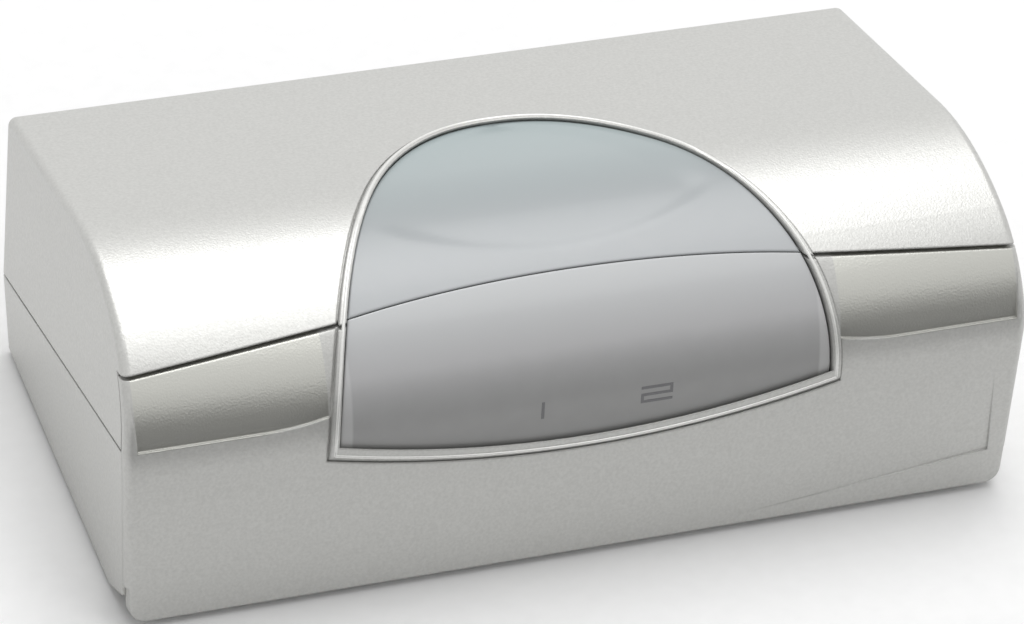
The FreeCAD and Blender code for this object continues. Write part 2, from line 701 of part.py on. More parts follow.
def base_shell():
    """Raked floor, lower ends and rear wall, with posts for the board, the cover and the panel."""
    outside = lower_block(0, rounded=True).common(above_underside()).common(above_bevel())
    cavity = lower_block(WALL).common(above_underside(WALL)).common(above_bevel(WALL))
    shell = outside.cut(cavity)
    shell = shell.cut(skin(-1, PANEL_THICKNESS + BASE_PANEL_GAP))
    shell = shell.cut(box(-FAR, FAR, -FAR, FAR, -SEAM_GAP / 2, 1))
    tongue = lower_ring().common(box(-FAR, FAR, BEVEL_REAR_Y, FAR, -WALL, TONGUE_HEIGHT))
    shell = shell.fuse(tongue)
    shell = shell.cut(rear_opening())
    inside = above_underside(WALL / 2).common(above_bevel(WALL / 2))
    posts = []
    for x, y in four_places(CASE_SCREW_X, CASE_SCREW_YS):
        posts.append(cylinder(CASE_POST_RADIUS, vec(x, y, -FAR), vec(x, y, 0)))
    for x, y in four_places(BOARD_SCREW_X, BOARD_SCREW_YS):
        posts.append(cylinder(BOARD_POST_RADIUS, vec(x, y, -FAR), vec(x, y, BOARD_UNDER_Z)))
    for side in (-1, 1):
        posts.append(cylinder(LUG_POST_RADIUS, at_lug(side, -FAR), at_lug(side, LUG_TOP_Z - LUG_THICKNESS)))
    shell = shell.fuse([post.common(inside) for post in posts])
    holes = []
    for x, y in four_places(CASE_SCREW_X, CASE_SCREW_YS):
        holes.append(cylinder(CASE_SCREW_RADIUS + SCREW_CLEARANCE, vec(x, y, -FAR), vec(x, y, 1)))
        holes.append(cylinder(CASE_SCREW_HEAD_RADIUS + SCREW_CLEARANCE, vec(x, y, -FAR),
                              vec(x, y, -CASE_SCREW_GRIP)))
    for x, y in four_places(BOARD_SCREW_X, BOARD_SCREW_YS):
        holes.append(cylinder(BOARD_SCREW_RADIUS + THREAD_CLEARANCE,
                              vec(x, y, BOARD_UNDER_Z - BOARD_SCREW_BITE - SCREW_HOLE_SPARE), vec(x, y, 1)))
    for side in (-1, 1):
        under_lug = LUG_TOP_Z - LUG_THICKNESS
        holes.append(cylinder(BOARD_SCREW_RADIUS + THREAD_CLEARANCE,
                              at_lug(side, under_lug - LUG_SCREW_BITE - SCREW_HOLE_SPARE),
                              at_lug(side, under_lug + 1)))
    return shell.cut(holes).removeSplitter()


def lower_ring():
    """The tongue that stands up inside the cover's wall."""
    ring = upper_block(WALL - TONGUE_THICKNESS).fuse(lower_block(WALL - TONGUE_THICKNESS))
    return ring.cut(upper_block(WALL).fuse(lower_block(WALL)))


def front_panel_outline():
    """The panel in front view: stepped sides and rounded lower corners."""
    def half(z):
        return HALF_WIDTH + z * tan(BASE_DRAFT) - PANEL_SET_IN
    foot = FACE_FOOT_Z
    corner = PANEL_CORNER_RADIUS
    bend = corner * (1 - cos(45))
    right = [vec(FAR, -FAR, FAR), vec(FAR, -FAR, PANEL_SET_IN_Z),
             vec(half(PANEL_SET_IN_Z), -FAR, PANEL_SET_IN_Z)]
    start = vec(half(foot + corner), -FAR, foot + corner)
    middle = vec(half(foot) - bend, -FAR, foot + bend)
    end = vec(half(foot) - corner, -FAR, foot)

    def mirror(point):
        return vec(-point.x, point.y, point.z)
    edges = [Part.makeLine(right[0], right[1]), Part.makeLine(right[1], right[2]),
             Part.makeLine(right[2], start), Part.Arc(start, middle, end).toShape(),
             Part.makeLine(end, mirror(end)),
             Part.Arc(mirror(end), mirror(middle), mirror(start)).toShape(),
             Part.makeLine(mirror(start), mirror(right[2])),
             Part.makeLine(mirror(right[2]), mirror(right[1])),
             Part.makeLine(mirror(right[1]), mirror(right[0])),
             Part.makeLine(mirror(right[0]), right[0])]
    return Part.Face(Part.Wire(edges)).extrude(vec(0, 2 * FAR, 0))


def band_cutter():
    """What is cut away to leave the two rolled bands."""
    nose = nose_centre()
    angle = math.degrees(math.asin(BAND_TOP_Z / NOSE_RADIUS))
    top = on_arc(nose, NOSE_RADIUS, angle)
    centre = (top.y + BAND_RADIUS * cos(angle), top.z - BAND_RADIUS * sin(angle))
    low_z = BAND_FOOT_Z - 1
    low_angle = math.degrees(math.asin((low_z - centre[1]) / BAND_RADIUS))
    low = on_arc(centre, BAND_RADIUS, low_angle)
    middle = on_arc(centre, BAND_RADIUS, (angle + low_angle) / 2)
    out_low, out_top = vec(0, NOSE_Y - 5, low.z), vec(0, NOSE_Y - 5, top.z)
    wire = Part.Wire([Part.Arc(top, middle, low).toShape(), Part.makeLine(low, out_low),
                      Part.makeLine(out_low, out_top), Part.makeLine(out_top, top)])
    roll = Part.Face(wire)
    roll.translate(vec(-FAR, 0, 0))
    roll = roll.extrude(vec(2 * FAR, 0, 0))
    return roll.common(band_outline()).cut(arch_prism(WINDOW_GAP + RIM_WIDTH))


def band_outline():
    """The bands in front view, as one outline behind the window."""
    top_x = HALF_WIDTH - BAND_TOP_Z * tan(COVER_DRAFT) - BAND_STRIP_TOP
    foot_x = HALF_WIDTH - BAND_STRIP_FOOT
    rim_x = WINDOW_HALF_WIDTH + WINDOW_GAP + RIM_WIDTH
    bend_x = rim_x + BAND_FOOT_RUN
    top_z, foot_z = BAND_TOP_Z + 1, BAND_FOOT_Z
    arc_mid_x = rim_x + BAND_FOOT_RUN / 2
    arc_mid_z = foot_z + BAND_FOOT_RISE / 4

    def point(side, x, z):
        return vec(side * x, -FAR, z)
    edges = []
    for side in (-1, 1):
        edges.append(Part.makeLine(point(side, 0, foot_z + BAND_FOOT_RISE),
                                   point(side, rim_x, foot_z + BAND_FOOT_RISE)))
        edges.append(Part.Arc(point(side, rim_x, foot_z + BAND_FOOT_RISE),
                              point(side, arc_mid_x, arc_mid_z), point(side, bend_x, foot_z)).toShape())
        edges.append(Part.makeLine(point(side, bend_x, foot_z), point(side, foot_x, foot_z)))
        edges.append(Part.makeLine(point(side, foot_x, foot_z), point(side, top_x, top_z)))
        edges.append(Part.makeLine(point(side, top_x, top_z), point(side, 0, top_z)))
    wire = Part.Wire(Part.__sortEdges__(edges))
    return Part.Face(wire).extrude(vec(0, 2 * FAR, 0))


def facet_cutter():
    """A thin wedge whose slanting floor dips into the face at one corner only."""
    def on_face(x, z, depth):
        return vec(x, face_y(z) + depth, z)
    left = on_face(FACET_LEFT_X, FACET_LEFT_Z, 0)
    top = on_face(HALF_WIDTH - FACET_TOP_SET_IN, FACET_TOP_Z, 0)
    corner_x = HALF_WIDTH - FACET_CORNER_SET_IN
    deep, out = on_face(corner_x, FACET_CORNER_Z, FACET_DEPTH), on_face(corner_x, FACET_CORNER_Z, -1)
    corners = [(left, top, deep), (left, top, out), (left, deep, out), (top, deep, out)]
    faces = [Part.Face(Part.makePolygon([a, b, c, a])) for a, b, c in corners]
    return Part.Solid(Part.Shell(faces))


def panel_lug(side):
    """A tab behind the panel that is screwed down to the base."""
    under = LUG_TOP_Z - LUG_THICKNESS
    x = side * LUG_X
    lug = box(x - LUG_WIDTH / 2, x + LUG_WIDTH / 2, 0, LUG_REAR_Y, under, LUG_TOP_Z)
    lug = lug.common(profile_prism(PANEL_THICKNESS / 2, FAR, -FAR))
    return lug.cut(cylinder(BOARD_SCREW_RADIUS + SCREW_CLEARANCE, vec(x, LUG_SCREW_Y, under - 1),
                            vec(x, LUG_SCREW_Y, LUG_TOP_Z + 1)))


def front_panel(rim, groove):
    """Flat leaning face, the two rolled bands and the lower half of the window's rim."""
    block = upper_block(0, rounded=True).fuse([lower_block(0, rounded=True)], 0.01)
    panel = block.cut(profile_prism(PANEL_THICKNESS, FAR, -FAR))
    panel = panel.common(under_groove(-GROOVE_WIDTH / 2)).common(above_underside())
    panel = panel.common(front_panel_outline())
    panel = panel.cut(band_cutter())
    lip = skin(WALL - LIP_THICKNESS, WALL)
    lip = lip.common(under_groove(GROOVE_WIDTH / 2 + LIP_HEIGHT))
    lip_side = HALF_WIDTH - WALL - LIP_CLEARANCE
    lip = lip.common(box(-lip_side, lip_side, -FAR, FAR, BAND_TOP_Z - LIP_HEIGHT - 3, FAR))
    panel = panel.fuse(lip)
    panel = panel.cut([arch_prism(WINDOW_GAP), groove])
    panel = panel.fuse(rim.common(under_groove(-GROOVE_WIDTH / 2)))
    panel = panel.cut(facet_cutter())
    for side in (-1, 1):
        panel = panel.fuse(panel_lug(side))
    return panel.removeSplitter()


# Window pieces

def numeral_one():
    x = NUMERAL_CENTRE_X - NUMERAL_PITCH / 2
    return box(x - NUMERAL_STROKE / 2, x + NUMERAL_STROKE / 2, -5, 5,
               NUMERAL_MID_Z - NUMERAL_HEIGHT / 2, NUMERAL_MID_Z + NUMERAL_HEIGHT / 2)


def numeral_two():
    """A square-cut 2: three bars and the two uprights that link them."""
    x0 = NUMERAL_CENTRE_X + NUMERAL_PITCH / 2 - NUMERAL_WIDTH / 2
    x1 = x0 + NUMERAL_WIDTH
    stroke = NUMERAL_STROKE
    low = NUMERAL_MID_Z - NUMERAL_HEIGHT / 2
    high = NUMERAL_MID_Z + NUMERAL_HEIGHT / 2
    middle = NUMERAL_MID_Z - stroke / 2
    bars = [box(x0, x1, -5, 5, z, z + stroke) for z in (low, middle, high - stroke)]
    bars.append(box(x1 - stroke, x1, -5, 5, middle, high))
    bars.append(box(x0, x0 + stroke, -5, 5, low, middle + stroke))
    return join(bars)


def port_numerals():
    ink = skin(-NUMERAL_PROUD, NUMERAL_INK_DEPTH)
    return [shape.common(ink) for shape in (numeral_one(), numeral_two())]


def status_window(numerals):
    """The fixed lower half of the lens, held by a flange behind the front panel."""
    lens = skin(0, PANEL_THICKNESS).common(arch_prism(0)).common(before_split(-SPLIT_GAP / 2))
    flange = skin(PANEL_THICKNESS, PANEL_THICKNESS + WINDOW_FLANGE_THICKNESS)
    flange = flange.common(arch_prism(WINDOW_GAP + RIM_WIDTH))
    flange = flange.common(under_groove(-GROOVE_WIDTH)).common(before_split(-SPLIT_GAP / 2))
    return lens.fuse(flange).cut(numerals).removeSplitter()


def select_cap():
    """The push cap: upper half of the lens, with a shallow thumb dish."""
    cap = skin(0, CAP_WALL).common(arch_prism(0)).cut(before_split(SPLIT_GAP / 2))
    return cap.cut(skin(-1, DISH_DEPTH).common(dish_prism()))


def cap_carrier():
    """The frame under the cap: a curved plate, two hinge arms and the post over the switch."""
    half, depth = CARRIER_HALF_WIDTH, CAP_WALL + CARRIER_WALL
    plate = skin(CAP_WALL, depth).common(box(-half, half, CARRIER_FRONT_Y, CARRIER_REAR_Y, 0, FAR))
    plate = plate.common(arch_prism(-CARRIER_MARGIN))
    in_plate = profile_prism(depth - CARRIER_LAP, FAR, -FAR)
    pieces = [plate]
    for side in (-1, 1):
        low, high = sorted((side * (half - CARRIER_ARM_WIDTH), side * half))
        arm = box(low, high, CARRIER_ARM_FRONT_Y, HINGE_Y, HINGE_Z - TRUNNION_RADIUS, FAR)
        under_cap = box(low, high, CARRIER_ARM_FRONT_Y, CARRIER_REAR_Y - CARRIER_ARM_LAP, 0, FAR)
        front_part = arm.common(in_plate).common(under_cap)
        front_part = front_part.common(arch_prism(-CARRIER_MARGIN).fuse(profile_prism(depth, FAR, -FAR)))
        rear_part = arm.common(profile_prism(WALL + CARRIER_ROOF_GAP, FAR, -FAR))
        eye = cylinder(CARRIER_EYE_RADIUS, vec(low, HINGE_Y, HINGE_Z), vec(high, HINGE_Y, HINGE_Z))
        reach = side * (half + HINGE_SIDE_GAP + HINGE_BOSS_WIDTH)
        pin = cylinder(TRUNNION_RADIUS, vec(side * (half - CARRIER_ARM_WIDTH), HINGE_Y, HINGE_Z),
                       vec(reach, HINGE_Y, HINGE_Z))
        pieces += [front_part, rear_part, eye, pin]
    post_foot = BOARD_TOP_Z + SWITCH_HEIGHT + PLUNGER_HEIGHT + PRESS_PLAY
    post = cylinder(PRESS_POST_RADIUS, vec(0, SWITCH_Y, post_foot), vec(0, SWITCH_Y, FAR))
    pieces.append(post.common(in_plate))
    return join(pieces)


# Switch, lamps and baffle

def tact_switch():
    """The switch on the board, with a pocket for its plunger."""
    half = SWITCH_SIZE / 2
    top = BOARD_TOP_Z + SWITCH_HEIGHT
    body = box(-half, half, SWITCH_Y - half, SWITCH_Y + half, BOARD_TOP_Z, top)
    pocket = cylinder(PLUNGER_RADIUS + PLUNGER_CLEARANCE, vec(0, SWITCH_Y, top - PLUNGER_DEPTH - 1),
                      vec(0, SWITCH_Y, top + 1))
    plunger = cylinder(PLUNGER_RADIUS, vec(0, SWITCH_Y, top - PLUNGER_DEPTH),
                       vec(0, SWITCH_Y, top + PLUNGER_HEIGHT))
    return body.cut(pocket), plunger


def lamp_x(index):
    return NUMERAL_CENTRE_X + (index - 0.5) * NUMERAL_PITCH


def lamp(index):
    """A round lamp that points at the window, with a domed tip and a flange."""
    x, z = lamp_x(index), BOARD_TOP_Z + LAMP_HEIGHT
    tip_y = LAMP_REAR_Y - LAMP_LENGTH
    barrel = cylinder(LAMP_RADIUS, vec(x, tip_y + LAMP_RADIUS, z), vec(x, LAMP_REAR_Y, z))
    dome = Part.makeSphere(LAMP_RADIUS, vec(x, tip_y + LAMP_RADIUS, z))
    flange = cylinder(LAMP_FLANGE_RADIUS, vec(x, LAMP_REAR_Y - LAMP_FLANGE_THICKNESS, z),
                      vec(x, LAMP_REAR_Y, z))
    return join([barrel, dome, flange])


def lamp_leads():
    """Four bent legs, from the lamps back and down through the board."""
    legs = []
    half = LAMP_LEAD_SIZE / 2
    z = BOARD_TOP_Z + LAMP_HEIGHT
    bend_y = LAMP_REAR_Y + LAMP_LEAD_RUN
    for index in (0, 1):
        for side in (-1, 1):
            x = lamp_x(index) + side * LAMP_LEAD_PITCH / 2
            level = box(x - half, x + half, LAMP_REAR_Y, bend_y + half, z - half, z + half)
            down = box(x - half, x + half, bend_y - half, bend_y + half,
                       BOARD_UNDER_Z - LEAD_TAIL, z + half)
            legs.append(join([level, down]))
    return legs


def lamp_lead_places():
    return [(lamp_x(index) + side * LAMP_LEAD_PITCH / 2, LAMP_REAR_Y + LAMP_LEAD_RUN)
            for index in (0, 1) for side in (-1, 1)]


def light_baffle():
    """A two-cell box, open to the window, that keeps the lamps' light apart."""
    wall = BAFFLE_WALL
    rear = LAMP_REAR_Y - LAMP_FLANGE_THICKNESS
    top = BOARD_TOP_Z + BAFFLE_HEIGHT
    half = BAFFLE_CELL + 1.5 * wall
    centre = NUMERAL_CENTRE_X
    body = box(centre - half, centre + half, rear - BAFFLE_DEPTH, rear, BOARD_TOP_Z, top)
    for index in (0, 1):
        inner = centre + (index - 0.5) * wall - (1 - index) * BAFFLE_CELL
        body = body.cut(box(inner, inner + BAFFLE_CELL, rear - BAFFLE_DEPTH - 1, rear - wall,
                            BOARD_TOP_Z + wall / 2, top - wall))
        z = BOARD_TOP_Z + LAMP_HEIGHT
        body = body.cut(cylinder(LAMP_RADIUS + LAMP_CLEARANCE, vec(lamp_x(index), 0, z),
                                 vec(lamp_x(index), rear + 1, z)))
    behind_flange = PANEL_THICKNESS + WINDOW_FLANGE_THICKNESS + BAFFLE_CLEARANCE
    return body.common(profile_prism(behind_flange, FAR, -FAR))


# Sockets

def shell_outline(grow, y):
    """The D-shaped outline of a socket's shell, wider at the top, with rounded corners."""
    half_height = SOCKET_SHELL_HEIGHT / 2 + grow
    top_half = SOCKET_SHELL_TOP / 2 + grow
    foot_half = top_half - 2 * half_height * tan(SOCKET_SHELL_SLANT)
    points = [vec(-foot_half, y, -half_height), vec(foot_half, y, -half_height),
              vec(top_half, y, half_height), vec(-top_half, y, half_height)]
    return Part.Face(Part.makePolygon(points + points[:1]))


def shell_bar(grow, y0, y1):
    """The D outline as a bar with rounded corners."""
    bar = shell_outline(grow, y0).extrude(vec(0, y1 - y0, 0))
    corners = [edge for edge in bar.Edges
               if abs(edge.Vertexes[0].Point.y - edge.Vertexes[-1].Point.y) > (y1 - y0) / 2]
    return bar.makeFillet(SOCKET_SHELL_RADIUS + grow, corners)


def contact_places():
    """Row, column and place of every contact, seen from the rear."""
    places = []
    for row in range(CONTACT_ROWS):
        shift = 0.5 if row == 1 else 0.0
        for column in range(CONTACTS_IN_ROW):
            x = (column - (CONTACTS_IN_ROW - 1) / 2 + shift - 0.25) * CONTACT_PITCH
            places.append((row, column, x, (1 - row) * CONTACT_ROW_PITCH))
    return places


def contact_leg_y(row):
    """The legs of the top row stand furthest from the rear plate."""
    block_back = PLATE_FRONT_Y - SOCKET_FLANGE_THICKNESS - SOCKET_BLOCK_DEPTH
    return block_back - CONTACT_LEG_SET_BACK - (CONTACT_ROWS - 1 - row) * CONTACT_LEG_PITCH


def socket_pieces():
    """Shell, insulator and contacts of one socket at X = 0, Z = 0."""
    flange_front = PLATE_FRONT_Y - SOCKET_FLANGE_THICKNESS
    mouth = PLATE_FRONT_Y + SOCKET_SHELL_LENGTH
    block_back = flange_front - SOCKET_BLOCK_DEPTH
    half_flange, half_tall = SOCKET_FLANGE_WIDTH / 2, SOCKET_FLANGE_HEIGHT / 2
    flange = box(-half_flange, half_flange, flange_front, PLATE_FRONT_Y, -half_tall, half_tall)
    shell = join([flange, shell_bar(0, PLATE_FRONT_Y, mouth)])
    shell = shell.cut(shell_bar(-SOCKET_SHELL_WALL, flange_front - 1, mouth + 1))
    for side in (-1, 1):
        x = side * JACK_POST_PITCH / 2
        shell = shell.cut(cylinder(JACK_POST_STUD_RADIUS + SCREW_CLEARANCE,
                                   vec(x, flange_front - 1, 0), vec(x, mouth, 0)))
    tongue = shell_bar(-SOCKET_SHELL_WALL - SOCKET_INSULATOR_GAP, flange_front,
                       mouth - SOCKET_INSULATOR_SET_BACK)
    block = box(-SOCKET_BLOCK_WIDTH / 2, SOCKET_BLOCK_WIDTH / 2, block_back, flange_front,
                -SOCKET_HEIGHT, SOCKET_SHELL_HEIGHT / 2)
    insulator = join([block, tongue])
    contacts = []
    holes = []
    for row, column, x, z in contact_places():
        leg_y = contact_leg_y(row)
        front_y = mouth - SOCKET_INSULATOR_SET_BACK - CONTACT_RECESS
        holes.append(cylinder(CONTACT_RADIUS, vec(x, block_back - 1, z), vec(x, mouth + 1, z)))
        barrel = cylinder(CONTACT_RADIUS, vec(x, leg_y - CONTACT_LEG_RADIUS, z), vec(x, front_y, z))
        bore = cylinder(CONTACT_BORE, vec(x, front_y - CONTACT_BORE_DEPTH, z), vec(x, front_y + 1, z))
        leg = cylinder(CONTACT_LEG_RADIUS, vec(x, leg_y, z),
                       vec(x, leg_y, -SOCKET_HEIGHT - BOARD_THICKNESS - LEAD_TAIL))
        contacts.append(join([barrel, leg]).cut(bore))
    return shell, insulator.cut(holes), contacts


def socket_x(index):
    return SOCKET_FIRST_X + index * SOCKET_PITCH


def jack_post():
    """A hexagonal post with a tapped bore and a stud that holds the socket to the rear plate."""
    radius = JACK_POST_FLATS / 2 / cos(30)
    corners = [vec(radius * cos(60 * k), PLATE_REAR_Y, radius * sin(60 * k)) for k in range(6)]
    body = Part.Face(Part.makePolygon(corners + corners[:1])).extrude(vec(0, JACK_POST_HEIGHT, 0))
    mouth = PLATE_REAR_Y + JACK_POST_HEIGHT
    bore = cylinder(JACK_POST_THREAD_RADIUS, vec(0, mouth - JACK_POST_BORE_DEPTH, 0),
                    vec(0, mouth + 1, 0))
    stud = cylinder(JACK_POST_STUD_RADIUS, vec(0, PLATE_REAR_Y - JACK_POST_STUD_LENGTH, 0),
                    vec(0, PLATE_REAR_Y, 0))
    return join([body.cut(bore), stud])


def rear_plate():
    """The plate behind the shells' rear opening, cut for the sockets and the power jack."""
    low = underside_z(PLATE_FRONT_Y, WALL) + PLATE_CLEARANCE
    high = roof_z(PLATE_FRONT_Y, WALL) - PLATE_CLEARANCE
    plate = box(-PLATE_HALF_WIDTH, PLATE_HALF_WIDTH, PLATE_FRONT_Y, REAR_INSIDE_Y, low, high)
    cuts = []
    for index in range(len(SOCKET_NAMES)):
        hole = shell_bar(SOCKET_HOLE_CLEARANCE, PLATE_FRONT_Y - 1, REAR_INSIDE_Y + 1)
        cuts.append(at(hole, socket_x(index), 0, SOCKET_Z))
        for side in (-1, 1):
            x = socket_x(index) + side * JACK_POST_PITCH / 2
            cuts.append(cylinder(JACK_POST_STUD_RADIUS + SCREW_CLEARANCE,
                                 vec(x, PLATE_FRONT_Y - 1, SOCKET_Z), vec(x, FAR, SOCKET_Z)))
    half = DC_WIDTH / 2 + PLATE_CLEARANCE
    cuts.append(box(DC_X - half, DC_X + half, PLATE_FRONT_Y - 1, FAR, BOARD_TOP_Z - PLATE_CLEARANCE,
                    BOARD_TOP_Z + DC_HEIGHT + PLATE_CLEARANCE))
    return plate.cut(cuts)


# Power jack

def dc_jack():
    """Housing, centre pin and spring contact of the power jack."""
    face = REAR_INSIDE_Y + DC_PROUD
    back = face - DC_LENGTH
    z = BOARD_TOP_Z + DC_AXIS_HEIGHT
    housing = box(DC_X - DC_WIDTH / 2, DC_X + DC_WIDTH / 2, back, face, BOARD_TOP_Z,
                  BOARD_TOP_Z + DC_HEIGHT)
    bore_end = face - DC_BORE_DEPTH
    housing = housing.cut(cylinder(DC_BORE_RADIUS, vec(DC_X, bore_end, z), vec(DC_X, face + 1, z)))
    tail_back = back - DC_TAIL_THICKNESS
    pin_shank = cylinder(DC_PIN_RADIUS, vec(DC_X, tail_back, z), vec(DC_X, face - DC_PIN_SET_BACK, z))
    pin_tail = box(DC_X - DC_TAIL_WIDTH / 2, DC_X + DC_TAIL_WIDTH / 2, tail_back, back,
                   BOARD_UNDER_Z - LEAD_TAIL, z)
    pin = join([pin_shank, pin_tail])
    slot_top = z - DC_BORE_RADIUS + DC_CONTACT_THICKNESS
    half = DC_CONTACT_WIDTH / 2
    contact_rear = bore_end + DC_CONTACT_LENGTH
    strip = box(DC_X - half, DC_X + half, bore_end, contact_rear, slot_top - DC_CONTACT_THICKNESS,
                slot_top)
    tail = box(DC_X - half, DC_X + half, bore_end, bore_end + DC_CONTACT_THICKNESS,
               BOARD_UNDER_Z - LEAD_TAIL, slot_top)
    contact = join([strip, tail])
    housing = housing.cut([cylinder(DC_PIN_RADIUS, vec(DC_X, back - 1, z), vec(DC_X, face, z)), contact])
    return housing, pin, contact


# Board and small parts

def board_holes():
    """Places and radii of every hole in the board."""
    holes = [(x, y, BOARD_SCREW_RADIUS + SCREW_CLEARANCE)
             for x, y in four_places(BOARD_SCREW_X, BOARD_SCREW_YS)]
    holes += [(x, y, LEAD_HOLE_RADIUS) for x, y in lamp_lead_places()]
    for index in range(len(SOCKET_NAMES)):
        for row, column, x, z in contact_places():
            holes.append((socket_x(index) + x, contact_leg_y(row), LEAD_HOLE_RADIUS))
    return holes


def main_board():
    """The board, wider behind the case posts, with its holes and the power jack's two slots."""
    board = join([box(-half, half, front_y, BOARD_REAR_Y, BOARD_UNDER_Z, BOARD_TOP_Z) for half, front_y in
                  ((BOARD_HALF_WIDTH, BOARD_FRONT_Y), (BOARD_EAR_HALF_WIDTH, BOARD_EAR_FRONT_Y))])
    cuts = [cylinder(radius, vec(x, y, BOARD_UNDER_Z - 1), vec(x, y, BOARD_TOP_Z + 1))
            for x, y, radius in board_holes()]
    back = REAR_INSIDE_Y + DC_PROUD - DC_LENGTH
    bore_end = REAR_INSIDE_Y + DC_PROUD - DC_BORE_DEPTH
    half = DC_TAIL_WIDTH / 2 + DC_TAIL_CLEARANCE
    for y0, y1 in ((back - DC_TAIL_THICKNESS, back), (bore_end, bore_end + DC_CONTACT_THICKNESS)):
        cuts.append(box(DC_X - half, DC_X + half, y0 - DC_TAIL_CLEARANCE, y1 + DC_TAIL_CLEARANCE,
                        BOARD_UNDER_Z - 1, BOARD_TOP_Z + 1))
    return board.cut(cuts)


def on_board(x0, x1, y0, y1, height, lift=0.0):
    """A block that stands on the board."""
    return box(x0, x1, y0, y1, BOARD_TOP_Z + lift, BOARD_TOP_Z + height)


def pin_block(x, y, half_x, half_y):
    return on_board(x - half_x, x + half_x, y - half_y, y + half_y, PIN_THICKNESS)


def chip(x, width, depth, height, pins, pitch, four_sided=False):
    """A moulded chip with its pins on two or four sides, all seated on the board."""
    y = PLATE_FRONT_Y - CHIP_ROW_SET_IN
    half_w, half_d = width / 2, depth / 2
    solids = [on_board(x - half_w, x + half_w, y - half_d, y + half_d, height, CHIP_STANDOFF)]
    half_pin, half_reach = pitch / 4, (PIN_REACH + PIN_LAP) / 2
    out = (PIN_REACH - PIN_LAP) / 2
    for k in range(pins):
        along = (k - (pins - 1) / 2) * pitch
        for side in (-1, 1):
            solids.append(pin_block(x + along, y + side * (half_d + out), half_pin, half_reach))
            if four_sided:
                solids.append(pin_block(x + side * (half_w + out), y + along, half_reach, half_pin))
    return join(solids)


def chips():
    """The video switch, then the two buffers beside it."""
    video = chip(VIDEO_CHIP_X, VIDEO_CHIP_SIDE, VIDEO_CHIP_SIDE, VIDEO_CHIP_HEIGHT, VIDEO_CHIP_PINS,
                 VIDEO_CHIP_PIN_PITCH, four_sided=True)
    buffers = [chip(x, BUFFER_CHIP_WIDTH, BUFFER_CHIP_DEPTH, BUFFER_CHIP_HEIGHT, BUFFER_CHIP_PINS,
                    BUFFER_CHIP_PIN_PITCH) for x in (BUFFER_CHIP_LEFT_X, BUFFER_CHIP_RIGHT_X)]
    return video, buffers


def electrolytics():
    """Three can capacitors on square bases, in a row between the board's screws."""
    y = PLATE_FRONT_Y - CAN_ROW_SET_IN
    left_x = CAN_SCREW_GAP - BOARD_SCREW_X
    cans = []
    for x, radius, height in ((left_x, CAN_RADIUS, CAN_HEIGHT), (left_x + CAN_PITCH, CAN_RADIUS, CAN_HEIGHT),
                              (BOARD_SCREW_X - CAN_PITCH, SMALL_CAN_RADIUS, SMALL_CAN_HEIGHT)):
        half = radius + CAN_BASE_MARGIN
        base = on_board(x - half, x + half, y - half, y + half, CAN_BASE_HEIGHT)
        can = cylinder(radius, vec(x, y, BOARD_TOP_Z), vec(x, y, BOARD_TOP_Z + height))
        neck = Part.makeTorus(radius + CAN_NECK_SET_OUT, CAN_NECK_RADIUS,
                              vec(x, y, BOARD_TOP_Z + CAN_NECK_HEIGHT), vec(0, 0, 1))
        cans.append(join([base, can]).cut(neck))
    return cans


def chip_resistors():
    """Two rows of small resistors between the chips and the sockets."""
    solids = []
    half_x, half_y = RESISTOR_LENGTH / 2, RESISTOR_WIDTH / 2
    for row in (0, 1):
        y = PLATE_FRONT_Y - RESISTOR_ROW_SET_IN - row * RESISTOR_ROW_PITCH
        for k in range(RESISTORS_IN_ROW):
            x = RESISTOR_CENTRE_X + (k - (RESISTORS_IN_ROW - 1) / 2) * RESISTOR_PITCH
            solids.append(on_board(x - half_x, x + half_x, y - half_y, y + half_y, RESISTOR_HEIGHT))
    return solids


def voltage_regulator():
    """A three-legged regulator with its wide tab."""
    x, y = REGULATOR_SCREW_GAP - BOARD_SCREW_X, PLATE_FRONT_Y - REGULATOR_ROW_SET_IN
    half_w, half_d, half_tab = REGULATOR_WIDTH / 2, REGULATOR_DEPTH / 2, REGULATOR_TAB_WIDTH / 2
    half_leg, thickness = REGULATOR_LEG_WIDTH / 2, REGULATOR_LEG_THICKNESS
    pieces = [on_board(x - half_w, x + half_w, y - half_d, y + half_d, REGULATOR_HEIGHT, CHIP_STANDOFF / 2),
              on_board(x - half_tab, x + half_tab, y, y + half_d + REGULATOR_REACH, thickness)]
    for k in (-1, 0, 1):
        leg_x = x + k * REGULATOR_LEG_PITCH
        leg_front = y - half_d - REGULATOR_REACH
        pieces.append(on_board(leg_x - half_leg, leg_x + half_leg, leg_front, y, thickness))
    return join(pieces)


# Rubber feet, drawn standing on the desk

def tilt(shape):
    """From the case's frame to the desk's: the raked underside comes level."""
    copy = shape.copy()
    copy.rotate(vec(0, 0, 0), vec(1, 0, 0), -RAKE)
    return copy


def underside_level():
    """Height of the underside once the case has been turned."""
    y = face_y(FACE_FOOT_Z)
    return -y * sin(RAKE) + FACE_FOOT_Z * cos(RAKE)


def foot_places():
    return four_places(FOOT_X, FOOT_YS)


def foot(x, y):
    top = underside_level() + FOOT_POCKET
    disc = Part.makeCone(FOOT_RADIUS - FOOT_TAPER, FOOT_RADIUS, FOOT_HEIGHT - FOOT_POCKET,
                         vec(x, y, top - FOOT_HEIGHT))
    plug = cylinder(FOOT_RADIUS - FOOT_POCKET_SET_IN, vec(x, y, top - FOOT_POCKET), vec(x, y, top))
    return join([disc, plug])


def foot_pocket(x, y):
    level = underside_level()
    return cylinder(FOOT_RADIUS - FOOT_POCKET_SET_IN, vec(x, y, level - 1), vec(x, y, level + FOOT_POCKET))


# Assembly

